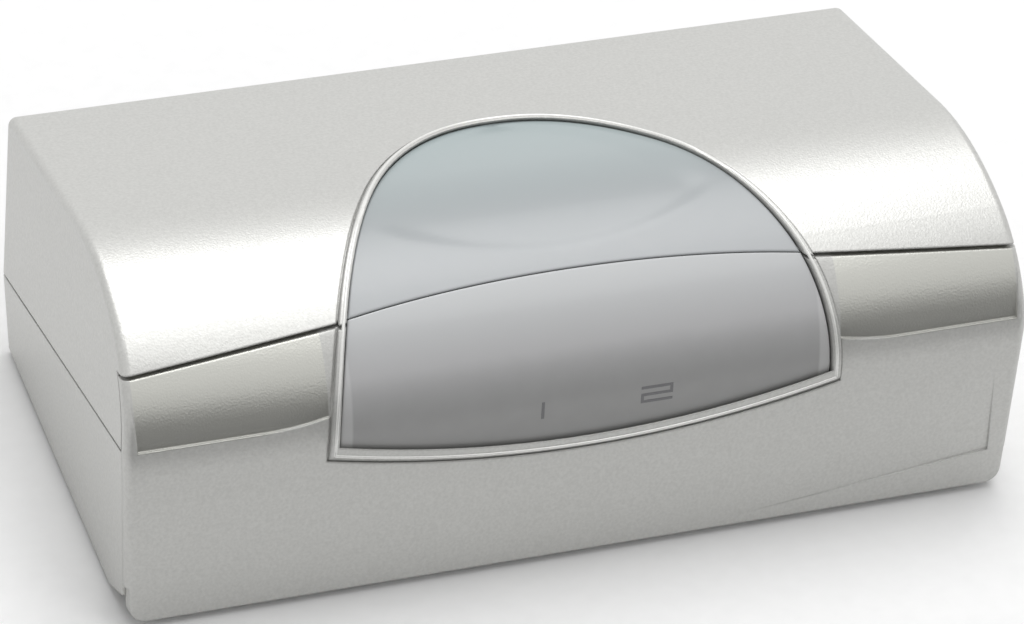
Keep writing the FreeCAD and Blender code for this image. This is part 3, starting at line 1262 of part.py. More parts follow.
def make_case():
    numerals = port_numerals()
    rim, groove = window_rim(), rim_groove()
    add("top_cover", tilt(top_cover(rim, groove)))
    base = tilt(base_shell())
    add("base_shell", base.cut([foot_pocket(x, y) for x, y in foot_places()]))
    add("front_panel", tilt(front_panel(rim, groove)))
    add("status_window", tilt(status_window(numerals)))
    add("port_numerals", *[tilt(shape) for shape in numerals])
    add("rubber_feet", *[foot(x, y) for x, y in foot_places()])


def make_button():
    body, plunger = tact_switch()
    add("select_cap", tilt(select_cap()))
    add("cap_carrier", tilt(cap_carrier()))
    add("tact_switch_body", tilt(body))
    add("tact_plunger", tilt(plunger))


def make_lamps():
    for index in (0, 1):
        add("indicator_%d" % (index + 1), tilt(lamp(index)))
    add("indicator_leads", *[tilt(shape) for shape in lamp_leads()])
    add("light_baffle", tilt(light_baffle()))


def make_rear():
    shell, insulator, contacts = socket_pieces()
    posts = []
    for index, name in enumerate(SOCKET_NAMES):
        x = socket_x(index)
        add(name + "_shell", tilt(at(shell, x, 0, SOCKET_Z)))
        add(name + "_insulator", tilt(at(insulator, x, 0, SOCKET_Z)))
        add(name + "_contacts", *[tilt(at(contact, x, 0, SOCKET_Z)) for contact in contacts])
        for side in (-1, 1):
            posts.append(tilt(at(jack_post(), x + side * JACK_POST_PITCH / 2, 0, SOCKET_Z)))
    add("jack_posts", *posts)
    add("rear_plate", tilt(rear_plate()))
    for name, shape in zip(("dc_jack_housing", "dc_jack_pin", "dc_jack_contact"), dc_jack()):
        add(name, tilt(shape))


def make_board():
    add("main_board", tilt(main_board()))
    video_chip, buffer_chips = chips()
    add("video_switch_chip", tilt(video_chip))
    add("buffer_chips", *[tilt(shape) for shape in buffer_chips])
    add("voltage_regulator", tilt(voltage_regulator()))
    add("electrolytic_capacitors", *[tilt(shape) for shape in electrolytics()])
    add("chip_resistors", *[tilt(shape) for shape in chip_resistors()])


def make_screws():
    case_screw = screw(CASE_SCREW_RADIUS, CASE_SCREW_GRIP + CASE_SCREW_BITE, CASE_SCREW_HEAD_RADIUS,
                       CASE_SCREW_HEAD_HEIGHT)
    add("case_screws", *[tilt(at(case_screw, x, y, -CASE_SCREW_GRIP))
                         for x, y in four_places(CASE_SCREW_X, CASE_SCREW_YS)])
    board_screw = upside_down(screw(BOARD_SCREW_RADIUS, BOARD_THICKNESS + BOARD_SCREW_BITE,
                                    BOARD_SCREW_HEAD_RADIUS, BOARD_SCREW_HEAD_HEIGHT))
    add("board_screws", *[tilt(at(board_screw, x, y, BOARD_TOP_Z))
                          for x, y in four_places(BOARD_SCREW_X, BOARD_SCREW_YS)])
    lug_screw = upside_down(screw(BOARD_SCREW_RADIUS, LUG_THICKNESS + LUG_SCREW_BITE,
                                  BOARD_SCREW_HEAD_RADIUS, BOARD_SCREW_HEAD_HEIGHT))
    add("panel_screws", *[tilt(at(lug_screw, side * LUG_X, LUG_SCREW_Y, LUG_TOP_Z)) for side in (-1, 1)])


def write_parts():
    """Moves the whole onto its origin, bottom centre of its box, and writes one file a piece."""
    whole = FreeCAD.BoundBox()
    for shape in NODES.values():
        whole.add(shape.optimalBoundingBox(False, False))
    shift = vec(-(whole.XMin + whole.XMax) / 2, -(whole.YMin + whole.YMax) / 2, -whole.ZMin)
    os.makedirs("parts", exist_ok=True)
    for name, shape in NODES.items():
        shape.translate(shift)
        good = shape.isValid() and all(solid.isValid() for solid in shape.Solids)
        print("%-26s solids %3d volume %10.2f %s" % (name, len(shape.Solids), shape.Volume,
                                                      "ok" if good else "BAD"))
        shape.exportStep("parts/%s.step" % name)
    print("size %.2f x %.2f x %.2f" % (whole.XLength, whole.YLength, whole.ZLength))
    return shift


def report_places(shift):
    """Prints the places that the joints and mounts use, in the finished frame."""
    def place(x, y, z):
        return tilt(Part.Vertex(vec(x, y, z))).Point + shift
    print("hinge", place(0, HINGE_Y, HINGE_Z))
    print("plunger", place(0, SWITCH_Y, BOARD_TOP_Z + SWITCH_HEIGHT))
    for index in range(len(SOCKET_NAMES)):
        for side in (-1, 1):
            x = socket_x(index) + side * JACK_POST_PITCH / 2
            print("jack post mouth", place(x, PLATE_REAR_Y + JACK_POST_HEIGHT, SOCKET_Z))


make_case()
make_button()
make_lamps()
make_rear()
make_board()
make_screws()
report_places(write_parts())
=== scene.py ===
"""Looks of a small two-port desktop video switch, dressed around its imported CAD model."""
import json
import logging
import math
from dataclasses import dataclass, field
from enum import Enum

import bpy
from mathutils import Matrix, Vector


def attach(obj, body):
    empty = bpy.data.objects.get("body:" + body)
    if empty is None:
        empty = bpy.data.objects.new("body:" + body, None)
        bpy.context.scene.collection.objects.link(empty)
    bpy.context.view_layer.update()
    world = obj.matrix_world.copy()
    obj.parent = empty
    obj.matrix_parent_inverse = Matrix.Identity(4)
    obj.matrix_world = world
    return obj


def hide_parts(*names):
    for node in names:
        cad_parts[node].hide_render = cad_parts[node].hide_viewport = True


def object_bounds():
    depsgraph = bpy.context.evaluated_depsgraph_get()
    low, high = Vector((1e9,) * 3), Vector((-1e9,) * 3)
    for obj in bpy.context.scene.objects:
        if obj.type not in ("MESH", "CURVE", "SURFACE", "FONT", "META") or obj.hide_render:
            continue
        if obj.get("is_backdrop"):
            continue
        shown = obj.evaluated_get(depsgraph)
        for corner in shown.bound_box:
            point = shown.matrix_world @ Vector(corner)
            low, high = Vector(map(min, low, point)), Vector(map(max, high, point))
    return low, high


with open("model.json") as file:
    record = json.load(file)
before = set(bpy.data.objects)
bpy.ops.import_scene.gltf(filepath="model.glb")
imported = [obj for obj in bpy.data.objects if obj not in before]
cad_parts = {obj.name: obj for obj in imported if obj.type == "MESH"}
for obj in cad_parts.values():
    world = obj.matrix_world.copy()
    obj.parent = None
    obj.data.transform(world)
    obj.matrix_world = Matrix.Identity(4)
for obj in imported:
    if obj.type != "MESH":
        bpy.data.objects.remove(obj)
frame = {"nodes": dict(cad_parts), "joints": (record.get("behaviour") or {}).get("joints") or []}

MM = 0.001
WELD_M = 0.00001
SMOOTH_DEG = 50
WHITE = (1, 1, 1, 1)
# The mix node's sockets for colours, by number.
MIX_SHARE = 0
MIX_LOW = 6
MIX_HIGH = 7
MIX_RESULT = 2
LOG = logging.getLogger("video_switch")


class Body(Enum):
    """The moving groups of the CAD model."""
    CASE = "case"
    SELECT = "select"


# Small tools


def linear(hex_colour: str) -> tuple[float, float, float, float]:
    """Turns an sRGB hex colour into linear RGBA.

    Args:
        hex_colour: Six hex digits.

    Returns:
        Linear red, green, blue and alpha.
    """
    parts = [int(hex_colour[k:k + 2], 16) / 255 for k in (0, 2, 4)]
    lit = [c / 12.92 if c <= 0.04045 else ((c + 0.055) / 1.055) ** 2.4 for c in parts]
    return (lit[0], lit[1], lit[2], 1.0)


def add_node(tree: bpy.types.NodeTree, kind: str, settings: dict | None = None,
             links: dict | None = None) -> bpy.types.Node:
    """Adds a shader node with its settings and the links into it.

    Args:
        tree: The material's or world's node tree.
        kind: Blender's node type.
        settings: Node properties by name, or socket values by socket name or number.
        links: Output sockets by the input's name or number.

    Returns:
        The new node.
    """
    node = tree.nodes.new(kind)
    for key, value in (settings or {}).items():
        if isinstance(key, str) and hasattr(node, key):
            setattr(node, key, value)
        else:
            node.inputs[key].default_value = value
    for key, socket in (links or {}).items():
        tree.links.new(socket, node.inputs[key])
    return node


def object_point(tree: bpy.types.NodeTree) -> bpy.types.NodeSocket:
    """Object coordinates of the shaded point."""
    return add_node(tree, "ShaderNodeTexCoord").outputs["Object"]


def maths(tree: bpy.types.NodeTree, operation: str, links: dict,
          values: dict | None = None) -> bpy.types.NodeSocket:
    """Adds a maths node.

    Args:
        tree: The node tree.
        operation: Blender's name for the sum.
        links: Output sockets by input number.
        values: Constants by input number.

    Returns:
        The result's socket.
    """
    settings = {"operation": operation, **(values or {})}
    return add_node(tree, "ShaderNodeMath", settings, links).outputs["Value"]


def distance_along(tree: bpy.types.NodeTree, direction: Vector) -> bpy.types.NodeSocket:
    """How far the shaded point lies along a direction, in metres."""
    return add_node(tree, "ShaderNodeVectorMath", {"operation": "DOT_PRODUCT", 1: direction},
                    {0: object_point(tree)}).outputs["Value"]


def from_middle(tree: bpy.types.NodeTree) -> bpy.types.NodeSocket:
    """How far the shaded point lies left or right of the middle, in metres."""
    split = add_node(tree, "ShaderNodeSeparateXYZ", {}, {"Vector": object_point(tree)})
    return maths(tree, "ABSOLUTE", {0: split.outputs["X"]})


def mapped(tree: bpy.types.NodeTree, value: bpy.types.NodeSocket, start: float, end: float,
           settings: dict | None = None) -> bpy.types.NodeSocket:
    """Maps a value onto 0 to 1, or onto the range in the settings.

    Args:
        tree: The node tree.
        value: The value's socket.
        start: Where the range starts.
        end: Where it ends.
        settings: Further settings of the map range node.

    Returns:
        The mapped value's socket.
    """
    settings = {"From Min": start, "From Max": end, **(settings or {})}
    return add_node(tree, "ShaderNodeMapRange", settings, {"Value": value}).outputs["Result"]


def blended(tree: bpy.types.NodeTree, share: bpy.types.NodeSocket,
            low: tuple | bpy.types.NodeSocket, high: tuple | bpy.types.NodeSocket) -> bpy.types.NodeSocket:
    """Mixes two colours.

    Args:
        tree: The node tree.
        share: Share of the second colour, as a socket.
        low: The first colour, as linear RGBA or a socket.
        high: The second colour, likewise.

    Returns:
        The mixed colour's socket.
    """
    settings = {"data_type": "RGBA"}
    links = {MIX_SHARE: share}
    for key, colour in ((MIX_LOW, low), (MIX_HIGH, high)):
        target = settings if isinstance(colour, tuple) else links
        target[key] = colour
    return add_node(tree, "ShaderNodeMix", settings, links).outputs[MIX_RESULT]


def ramp(tree: bpy.types.NodeTree, share: bpy.types.NodeSocket,
         stops: dict[float, str]) -> bpy.types.NodeSocket:
    """Adds a colour ramp.

    Args:
        tree: The node tree.
        share: Where on the ramp, as a socket.
        stops: sRGB hex colours by their place on the ramp.

    Returns:
        The colour's socket.
    """
    node = add_node(tree, "ShaderNodeValToRGB", {}, {"Fac": share})
    elements = node.color_ramp.elements
    first, *between, last = sorted(stops)
    for element, place in ((elements[0], first), (elements[1], last)):
        element.position = place
        element.color = linear(stops[place])
    for place in between:
        elements.new(place).color = linear(stops[place])
    return node.outputs["Color"]


def face_outward(weld: bool = False) -> None:
    """Turns the active piece's faces outward.

    Args:
        weld: Whether its doubled points are welded first.
    """
    bpy.ops.object.mode_set(mode="EDIT")
    bpy.ops.mesh.select_all(action="SELECT")
    if weld:
        bpy.ops.mesh.remove_doubles(threshold=WELD_M)
    bpy.ops.mesh.normals_make_consistent(inside=False)
    bpy.ops.object.mode_set(mode="OBJECT")


def smoothstep(value: float) -> float:
    """Eases a share from 0 to 1, held at both ends."""
    share = min(max(value, 0.0), 1.0)
    return share * share * (3 - 2 * share)


# Frame of the case


@dataclass(frozen=True)
class CaseFrame:
    """The frame that the case is drawn in: turned back by the rake, with the seam at height 0."""
    rake_deg: float = 15.0
    hinge_y: float = 43.0
    hinge_z: float = 16.5

    def turned(self, y: float, z: float) -> tuple[float, float]:
        """Depth and height after the case is leant back onto its feet."""
        c, s = math.cos(math.radians(self.rake_deg)), math.sin(math.radians(self.rake_deg))
        return y * c + z * s, z * c - y * s

    def place(self, x: float, y: float, z: float) -> Vector:
        """A point of the case, from millimetres in its own frame to metres on the desk.

        Args:
            x: Across, to the right.
            y: Back from the seam's front.
            z: Up from the seam.

        Returns:
            The point in the frame of the whole part.
        """
        hinge = Vector(frame["joints"][0]["pos_m"])
        hinge_y, hinge_z = self.turned(self.hinge_y, self.hinge_z)
        y_now, z_now = self.turned(y, z)
        return Vector((x * MM, hinge.y + (y_now - hinge_y) * MM, hinge.z + (z_now - hinge_z) * MM))

    def depth_of(self, point: Vector) -> float:
        """Depth of a point in the case's own frame, in millimetres."""
        return (point - self.place(0, 0, 0)).dot(self.direction(0, 1, 0)) / MM

    def direction(self, x: float, y: float, z: float) -> Vector:
        """A direction of the case, turned onto the desk."""
        y_now, z_now = self.turned(y, z)
        return Vector((x, y_now, z_now)).normalized()


@dataclass(frozen=True)
class RollProfile:
    """The case's front from the side: leaning face, tight roll, wide roll, nearly flat roof (mm)."""
    nose_y: float = -0.9
    lean_deg: float = 10.5
    nose_radius: float = 19.0
    nose_turn_deg: float = 50.0
    brow_radius: float = 34.0
    roof_slope_deg: float = 2.0

    def arc(self, angle_deg: float, inset: float) -> tuple[float, float, float]:
        """The arc that faces a direction turned up from level.

        Args:
            angle_deg: The direction's turn up from level.
            inset: Depth below the case's surface.

        Returns:
            Depth and height of the arc's centre, and its radius.
        """
        nose = (self.nose_y + self.nose_radius, 0.0, self.nose_radius - inset)
        if angle_deg < self.nose_turn_deg:
            return nose
        turn, apart = math.radians(self.nose_turn_deg), self.brow_radius - self.nose_radius
        return nose[0] + apart * math.cos(turn), -apart * math.sin(turn), self.brow_radius - inset

    def point(self, angle_deg: float, inset: float) -> tuple[float, float]:
        """The point whose outward normal is turned up by an angle from level."""
        return self.point_at(angle_deg, angle_deg, inset)

    def meet(self, height: float, inset: float) -> tuple[float, float]:
        """Where the line of sight at a slanting height meets the front.

        Args:
            height: Distance up the plane that faces the window at 45 degrees.
            inset: Depth below the case's surface.

        Returns:
            Depth and height of the meeting point.
        """
        root = math.sqrt(2)
        lean, slope = math.radians(self.lean_deg), math.radians(self.roof_slope_deg)
        start, end = self.point(-self.lean_deg, inset), self.point(90 - self.roof_slope_deg, inset)
        if height < sum(start) / root:
            run = (height * root - sum(start)) / (math.sin(lean) - math.cos(lean))
            return start[0] + run * math.sin(lean), start[1] - run * math.cos(lean)
        if height > sum(end) / root:
            run = (height * root - sum(end)) / (math.cos(slope) + math.sin(slope))
            return end[0] + run * math.cos(slope), end[1] + run * math.sin(slope)
        past_nose = height > sum(self.point(self.nose_turn_deg, inset)) / root
        angle = self.nose_turn_deg if past_nose else 0.0
        y, z, reach = self.arc(angle, inset)
        return self.point_at(45 + math.degrees(math.asin((height - (y + z) / root) / reach)), angle, inset)

    def point_at(self, angle_deg: float, arc_deg: float, inset: float) -> tuple[float, float]:
        """The point at an angle on the arc that holds another angle."""
        y, z, reach = self.arc(arc_deg, inset)
        return y - reach * math.cos(math.radians(angle_deg)), z + reach * math.sin(math.radians(angle_deg))

    def height_at(self, y: float) -> float:
        """Slanting height of the roll's surface.

        Args:
            y: Depth in the case's frame.

        Returns:
            The height on the plane that faces the window at 45 degrees.
        """
        past_nose = y > self.point(self.nose_turn_deg, 0.0)[0]
        arc_deg = self.nose_turn_deg if past_nose else 0.0
        centre_y, _, reach = self.arc(arc_deg, 0.0)
        angle = math.degrees(math.acos((centre_y - y) / reach))
        return sum(self.point_at(angle, arc_deg, 0.0)) / math.sqrt(2)


CASE = CaseFrame()
PROFILE = RollProfile()


# Finishes


@dataclass(frozen=True)
class Finish:
    """A plain moulded, plated or pressed finish with a fine grain.

    Attributes:
        name: The material's common name.
        colour: sRGB hex of the surface.
        shade: sRGB hex that the grain drifts towards.
        roughness: Gloss, from 0 for a mirror to 1 for chalk.
        metallic: 1 for bare metal.
        grain_mm: Size of the surface grain.
        bump: Strength of the grain's relief.
        stretch: How much longer the grain is along X, as on brushed or rolled metal.
        coat: Weight of the clear coat.
        coat_roughness: Gloss of that coat.
        relief: Depth of the grain's relief, as a share of its size.
    """
    name: str
    colour: str
    shade: str
    roughness: float
    metallic: float = 0.0
    grain_mm: float = 0.5
    bump: float = 0.1
    stretch: float = 1.0
    coat: float = 0.0
    coat_roughness: float = 0.12
    relief: float = 0.2

    def grain(self, tree: bpy.types.NodeTree, size_mm: float, detail: float = 2.0) -> bpy.types.Node:
        """A noise on Object coordinates.

        Args:
            tree: The material's node tree.
            size_mm: Size of the noise's cells.
            detail: Blender's detail of the noise.

        Returns:
            The noise node.
        """
        drawn_out = add_node(tree, "ShaderNodeMapping", {"Scale": (1 / self.stretch, 1, 1)},
                             {"Vector": object_point(tree)})
        return add_node(tree, "ShaderNodeTexNoise", {"Scale": 1 / (size_mm * MM), "Detail": detail},
                        {"Vector": drawn_out.outputs["Vector"]})

    def normal(self, tree: bpy.types.NodeTree, noise: bpy.types.Node) -> bpy.types.NodeSocket:
        """Relief of the grain."""
        depth = self.grain_mm * MM * self.relief
        return add_node(tree, "ShaderNodeBump", {"Strength": self.bump, "Distance": depth},
                        {"Height": noise.outputs["Fac"]}).outputs["Normal"]

    def colour_socket(self, tree: bpy.types.NodeTree, noise: bpy.types.Node) -> bpy.types.NodeSocket:
        """Colour that drifts a little with the grain."""
        return ramp(tree, noise.outputs["Fac"], {0.3: self.shade, 0.7: self.colour})

    def build(self) -> bpy.types.Material:
        """Makes the material.

        Returns:
            The finished node material.
        """
        material = bpy.data.materials.new(self.name)
        material.use_nodes = True
        tree = material.node_tree
        tree.nodes.clear()
        noise = self.grain(tree, self.grain_mm)
        shader = add_node(tree, "ShaderNodeBsdfPrincipled",
                          {"Roughness": self.roughness, "Metallic": self.metallic,
                           "Coat Weight": self.coat, "Coat Roughness": self.coat_roughness},
                          {"Base Color": self.colour_socket(tree, noise), "Normal": self.normal(tree, noise)})
        add_node(tree, "ShaderNodeOutputMaterial", {}, {"Surface": shader.outputs["BSDF"]})
        return material


@dataclass(frozen=True)
class SilverPaint(Finish):
    """Satin silver paint on moulded ABS: soft broad highlight, fine flake and softened mould edges.

    Attributes:
        flake_mm: Size of the flakes.
        flake_depth_mm: Depth of their relief.
        edge_mm: Radius to which the paint softens an edge.
        edge_samples: Rays that look for an edge.
    """
    flake_mm: float = 0.28
    flake_depth_mm: float = 0.05
    edge_mm: float = 0.35
    edge_samples: int = 6

    def normal(self, tree: bpy.types.NodeTree, noise: bpy.types.Node) -> bpy.types.NodeSocket:
        """Flake relief over edges that the paint has rounded.

        Args:
            tree: The material's node tree.
            noise: The grain, which the flakes stand in for here; not used.

        Returns:
            The relief's normal socket.
        """
        edge = add_node(tree, "ShaderNodeBevel", {"samples": self.edge_samples, "Radius": self.edge_mm * MM})
        flake = self.grain(tree, self.flake_mm, 1.0)
        peel = add_node(tree, "ShaderNodeBump", {"Strength": self.bump, "Distance": self.flake_depth_mm * MM},
                        {"Height": flake.outputs["Fac"], "Normal": edge.outputs["Normal"]})
        return peel.outputs["Normal"]


@dataclass(frozen=True)
class BandedPaint(SilverPaint):
    """Silver paint of the front panel, whose rolled bands are more metallic and carry painted shade: darker
    over the bands, and darker still towards their foot in the step.

    Attributes:
        band_shade_colour: sRGB hex of the bands, darker than the flat face as painted shade.
        step_shade_colour: sRGB hex at the bands' foot, painted shade in the step.
        band_metallic: How metallic the bands are.
        foot_z: The bands' foot above the seam, away from the window (mm).
        rise: How much higher the foot is beside the window (mm).
        near_x: Where the bands begin, from the middle (mm).
        bend_x: Where their foot stops rising (mm).
        far_x: Where they end (mm).
        fade: Heights about the foot between which the bands' metallic paint and painted shade set in (mm).
        shade_heights: Heights between which the step's darker painted shade gives way to the bands' painted
            shade (mm).
    """
    band_shade_colour: str = "C4C4BE"
    step_shade_colour: str = "B4B4AF"
    band_metallic: float = 0.75
    foot_z: float = 0.3
    rise: float = 1.0
    near_x: float = 36.9
    bend_x: float = 45.9
    far_x: float = 63.4
    fade: tuple[float, float] = (-0.25, -0.15)
    shade_heights: tuple[float, float] = (0.1, 2.5)

    def above_foot(self, tree: bpy.types.NodeTree, across: bpy.types.NodeSocket) -> bpy.types.NodeSocket:
        """Height above the bands' foot, in metres.

        Args:
            tree: The material's node tree.
            across: Distance from the middle, in metres.

        Returns:
            The height's socket.
        """
        up = CASE.direction(0, 0, 1)
        level = CASE.place(0, 0, self.foot_z).dot(up)
        foot = mapped(tree, across, self.near_x * MM, self.bend_x * MM,
                      {"To Min": level + self.rise * MM, "To Max": level})
        return maths(tree, "SUBTRACT", {0: distance_along(tree, up), 1: foot})

    def build(self) -> bpy.types.Material:
        """Makes the material with its bands and their painted shade.

        Returns:
            The finished node material.
        """
        material = super().build()
        tree = material.node_tree
        shader = next(node for node in tree.nodes if node.type == "BSDF_PRINCIPLED")
        across = from_middle(tree)
        beside = maths(tree, "COMPARE", {0: across}, {1: (self.near_x + self.far_x) / 2 * MM,
                                                      2: (self.far_x - self.near_x) / 2 * MM})
        height = self.above_foot(tree, across)
        above = mapped(tree, height, self.fade[0] * MM, self.fade[1] * MM)
        band = maths(tree, "MULTIPLY", {0: beside, 1: above})
        # Painted shade: the bands' colour darkens towards their foot, darkest in the step.
        shade_towards_foot = mapped(tree, height, self.shade_heights[0] * MM, self.shade_heights[1] * MM,
                          {"interpolation_type": "SMOOTHSTEP"})
        coat = blended(tree, shade_towards_foot, linear(self.step_shade_colour), linear(self.band_shade_colour))
        flat = shader.inputs["Base Color"].links[0].from_socket
        tree.links.new(blended(tree, band, flat, coat), shader.inputs["Base Color"])
        metal = mapped(tree, band, 0.0, 1.0, {"To Min": self.metallic, "To Max": self.band_metallic})
        tree.links.new(metal, shader.inputs["Metallic"])
        return material


@dataclass(frozen=True)
class WindowPlastic(Finish):
    """Clear-coated translucent acrylic, tinted from one colour at its foot to another at its top, as painted
    light and shade.

    The colour follows the slanting height, from the foot's colour over shade to colour, as painted light and
    shade; the paler strip at each side is a painted reflection.

    Attributes:
        low_mm: Slanting height where the tint starts.
        high_mm: Slanting height where it ends.
        foot_tint_and_shading: sRGB hex at the foot, which carries painted light and shade besides the lens's
            own tint.
        middle_share: Where on the way up the tint is shade.
        cloudiness: How far the grain moves the tint.
        reflection_x: Where the paler strip at each side, a painted reflection, begins, from the middle (mm).
        reflection_fade: Width over which it sets in (mm).
        reflection_share: How much paler it is.
    """
    low_mm: float = -5.4
    high_mm: float = 14.0
    foot_tint_and_shading: str = "8C8C8C"
    middle_share: float = 0.5
    cloudiness: float = 0.06
    reflection_x: float = 60.0
    reflection_fade: float = 0.3
    reflection_share: float = 0.15

    def colour_socket(self, tree: bpy.types.NodeTree, noise: bpy.types.Node) -> bpy.types.NodeSocket:
        """Colour by height, which carries painted light and shade, with a faint cloudiness and a painted
        reflection at each side.

        Args:
            tree: The material's node tree.
            noise: The grain that clouds the tint.

        Returns:
            The colour's socket.
        """
        slant = CASE.direction(0, 1, 1)
        start = CASE.place(0, 0, 0).dot(slant)
        share = mapped(tree, distance_along(tree, slant), start + self.low_mm * MM,
                       start + self.high_mm * MM, {"interpolation_type": "SMOOTHSTEP"})
        cloud = maths(tree, "MULTIPLY_ADD", {0: noise.outputs["Fac"]},
                      {1: self.cloudiness, 2: -self.cloudiness / 2})
        clouded = maths(tree, "ADD", {0: share, 1: cloud}, {"use_clamp": True})
        # Painted light and shade: the colour changes with height towards the foot's colour.
        tint_and_shading = ramp(tree, clouded, {0.0: self.foot_tint_and_shading, self.middle_share: self.shade, 1.0: self.colour})
        # Painted reflection: a paler strip at each side of the window.
        painted_edge_reflection = mapped(tree, from_middle(tree), self.reflection_x * MM, (self.reflection_x + self.reflection_fade) * MM,
                       {"To Max": self.reflection_share})
        return blended(tree, painted_edge_reflection, tint_and_shading, WHITE)


# Satin silver paint: mid grey metal look with a bright, wide highlight.
SILVER = SilverPaint("silver-painted ABS", "C9C9C6", "BFBFBC", 0.36, metallic=0.55, grain_mm=0.45, bump=0.5)
# The front panel's flat face looks plainer than the cover; its rolled bands are coarser and more metallic,
# and darker as painted shade.
PANEL_SILVER = BandedPaint("silver-painted ABS, banded", "C6C6C3", "BCBCB9", 0.36, metallic=0.4,
                           grain_mm=0.45, bump=0.5)
# The bead round the window is smoother than the paint beside it, and painted brighter as a painted highlight.
BEAD_HIGHLIGHT_SILVER = Finish("silver paint, painted highlight", "E9E9E6", "E2E2DF", 0.3, metallic=0.35, grain_mm=0.3, bump=0.05)
BLACK_ABS = Finish("black ABS", "1C1C1E", "141416", 0.55, grain_mm=0.4, bump=0.2)
WHITE_ABS = Finish("white ABS", "E4E4E0", "DADAD6", 0.5, grain_mm=0.6, bump=0.1)
PLATED_STEEL = Finish("nickel-plated steel", "C8C6C0", "A9A7A2", 0.3, metallic=1.0, grain_mm=0.3, bump=0.1,
                      stretch=3)
REAR_STEEL = Finish("grey powder-coated steel", "8F908F", "868786", 0.55, grain_mm=0.35, bump=0.35)
SOCKET_BLUE = Finish("blue glass-filled nylon", "1F4FA8", "1B4592", 0.45, grain_mm=0.3, bump=0.15)
GOLD = Finish("gold-flashed phosphor bronze", "D9B45A", "C79F45", 0.25, metallic=1.0, grain_mm=0.2, bump=0.05)
RUBBER = Finish("black rubber", "1A1A1A", "232323", 0.85, grain_mm=0.5, bump=0.4)
SOLDER_MASK = Finish("green solder mask on glass epoxy", "1E5B33", "194E2B", 0.35, grain_mm=0.8, bump=0.15,
                     coat=0.4)
RESIN = Finish("epoxy moulding compound", "232325", "1B1B1D", 0.6, grain_mm=0.25, bump=0.3)
CAN = Finish("drawn aluminium can", "CFCFCD", "B5B5B3", 0.28, metallic=1.0, grain_mm=0.3, bump=0.1)
TIN = Finish("tinned copper", "C9CACB", "AEAFB0", 0.35, metallic=1.0, grain_mm=0.3, bump=0.1)
LAMP = Finish("tinted epoxy", "C96A2A", "B85C20", 0.15, grain_mm=0.8, bump=0.02, coat=0.5)
INK = Finish("grey screen ink", "6C6C6E", "767678", 0.6, grain_mm=0.15, bump=0.1)

CAD_FINISHES = {
    SILVER: ("top_cover", "base_shell"),
    PANEL_SILVER: ("front_panel",),
    BLACK_ABS: ("tact_switch_body", "tact_plunger", "light_baffle", "dc_jack_housing"),
    WHITE_ABS: ("cap_carrier",),
    PLATED_STEEL: ("jack_posts", "input_1_shell", "input_2_shell", "output_shell", "case_screws",
                   "board_screws", "panel_screws"),
    REAR_STEEL: ("rear_plate",),
    SOCKET_BLUE: ("input_1_insulator", "input_2_insulator", "output_insulator"),
    GOLD: ("input_1_contacts", "input_2_contacts", "output_contacts"),
    RUBBER: ("rubber_feet",),
    SOLDER_MASK: ("main_board",),
    RESIN: ("video_switch_chip", "buffer_chips", "voltage_regulator", "chip_resistors"),
    CAN: ("electrolytic_capacitors",),
    TIN: ("indicator_leads", "dc_jack_pin", "dc_jack_contact"),
    LAMP: ("indicator_1", "indicator_2"),
    INK: ("port_numerals",),
}


# Window pieces


@dataclass(frozen=True)
class Arch:
    """The window's outline, seen square on to a plane that slants at 45 degrees (mm).

    Attributes:
        half_width: Half the width at the foot.
        top: Slanting height of the crown.
        foot: Slanting height of the foot's corners.
        sag: How much lower the foot is in the middle.
        shoulder: Power that sets how high the sides stay upright.
        crown: Power that sets how round the crown is.
        split_crown_y: Depth of the split between cap and window, in the middle.
        split_side_y: Depth of the split at the sides.
        split_half_gap: Half the gap between them.
        corner_x: Where the split nears the arch's side, from the middle.
    """
    half_width: float = 35.38
    top: float = 43.5
    foot: float = -3.0
    sag: float = 2.5
    shoulder: float = 1.57
    crown: float = 0.45
    split_crown_y: float = 6.0
    split_side_y: float = 3.75
    split_half_gap: float = 0.015
    corner_x: float = 33.4

    def half_at(self, height: float) -> float:
        """Half the arch's width at a slanting height."""
        share = min(max((height - self.foot) / (self.top - self.foot), 0.0), 1.0)
        return self.half_width * (1 - share ** self.shoulder) ** self.crown

    def sill(self, x: float) -> float:
        """Slanting height of the window's curved lower edge."""
        radius = (self.half_width ** 2 + self.sag ** 2) / (2 * self.sag)
        return self.foot - self.sag + radius - math.sqrt(radius ** 2 - x * x)

    def split(self, x: float, shift: float) -> float:
        """Slanting height of the line between cap and window, moved back by shift.

        Args:
            x: Distance from the middle.
            shift: How far behind the line, in plan.

        Returns:
            The height on the slanting plane.
        """
        return PROFILE.height_at(self.split_depth(x) + shift)

    def split_depth(self, x: float) -> float:
        """The line between cap and window, in plan.

        Args:
            x: Distance from the middle.

        Returns:
            The line's depth in the case's frame.
        """
        rise = self.split_crown_y - self.split_side_y
        radius = (self.half_width ** 2 + rise ** 2) / (2 * rise)
        return self.split_crown_y - radius + math.sqrt(radius ** 2 - x * x)


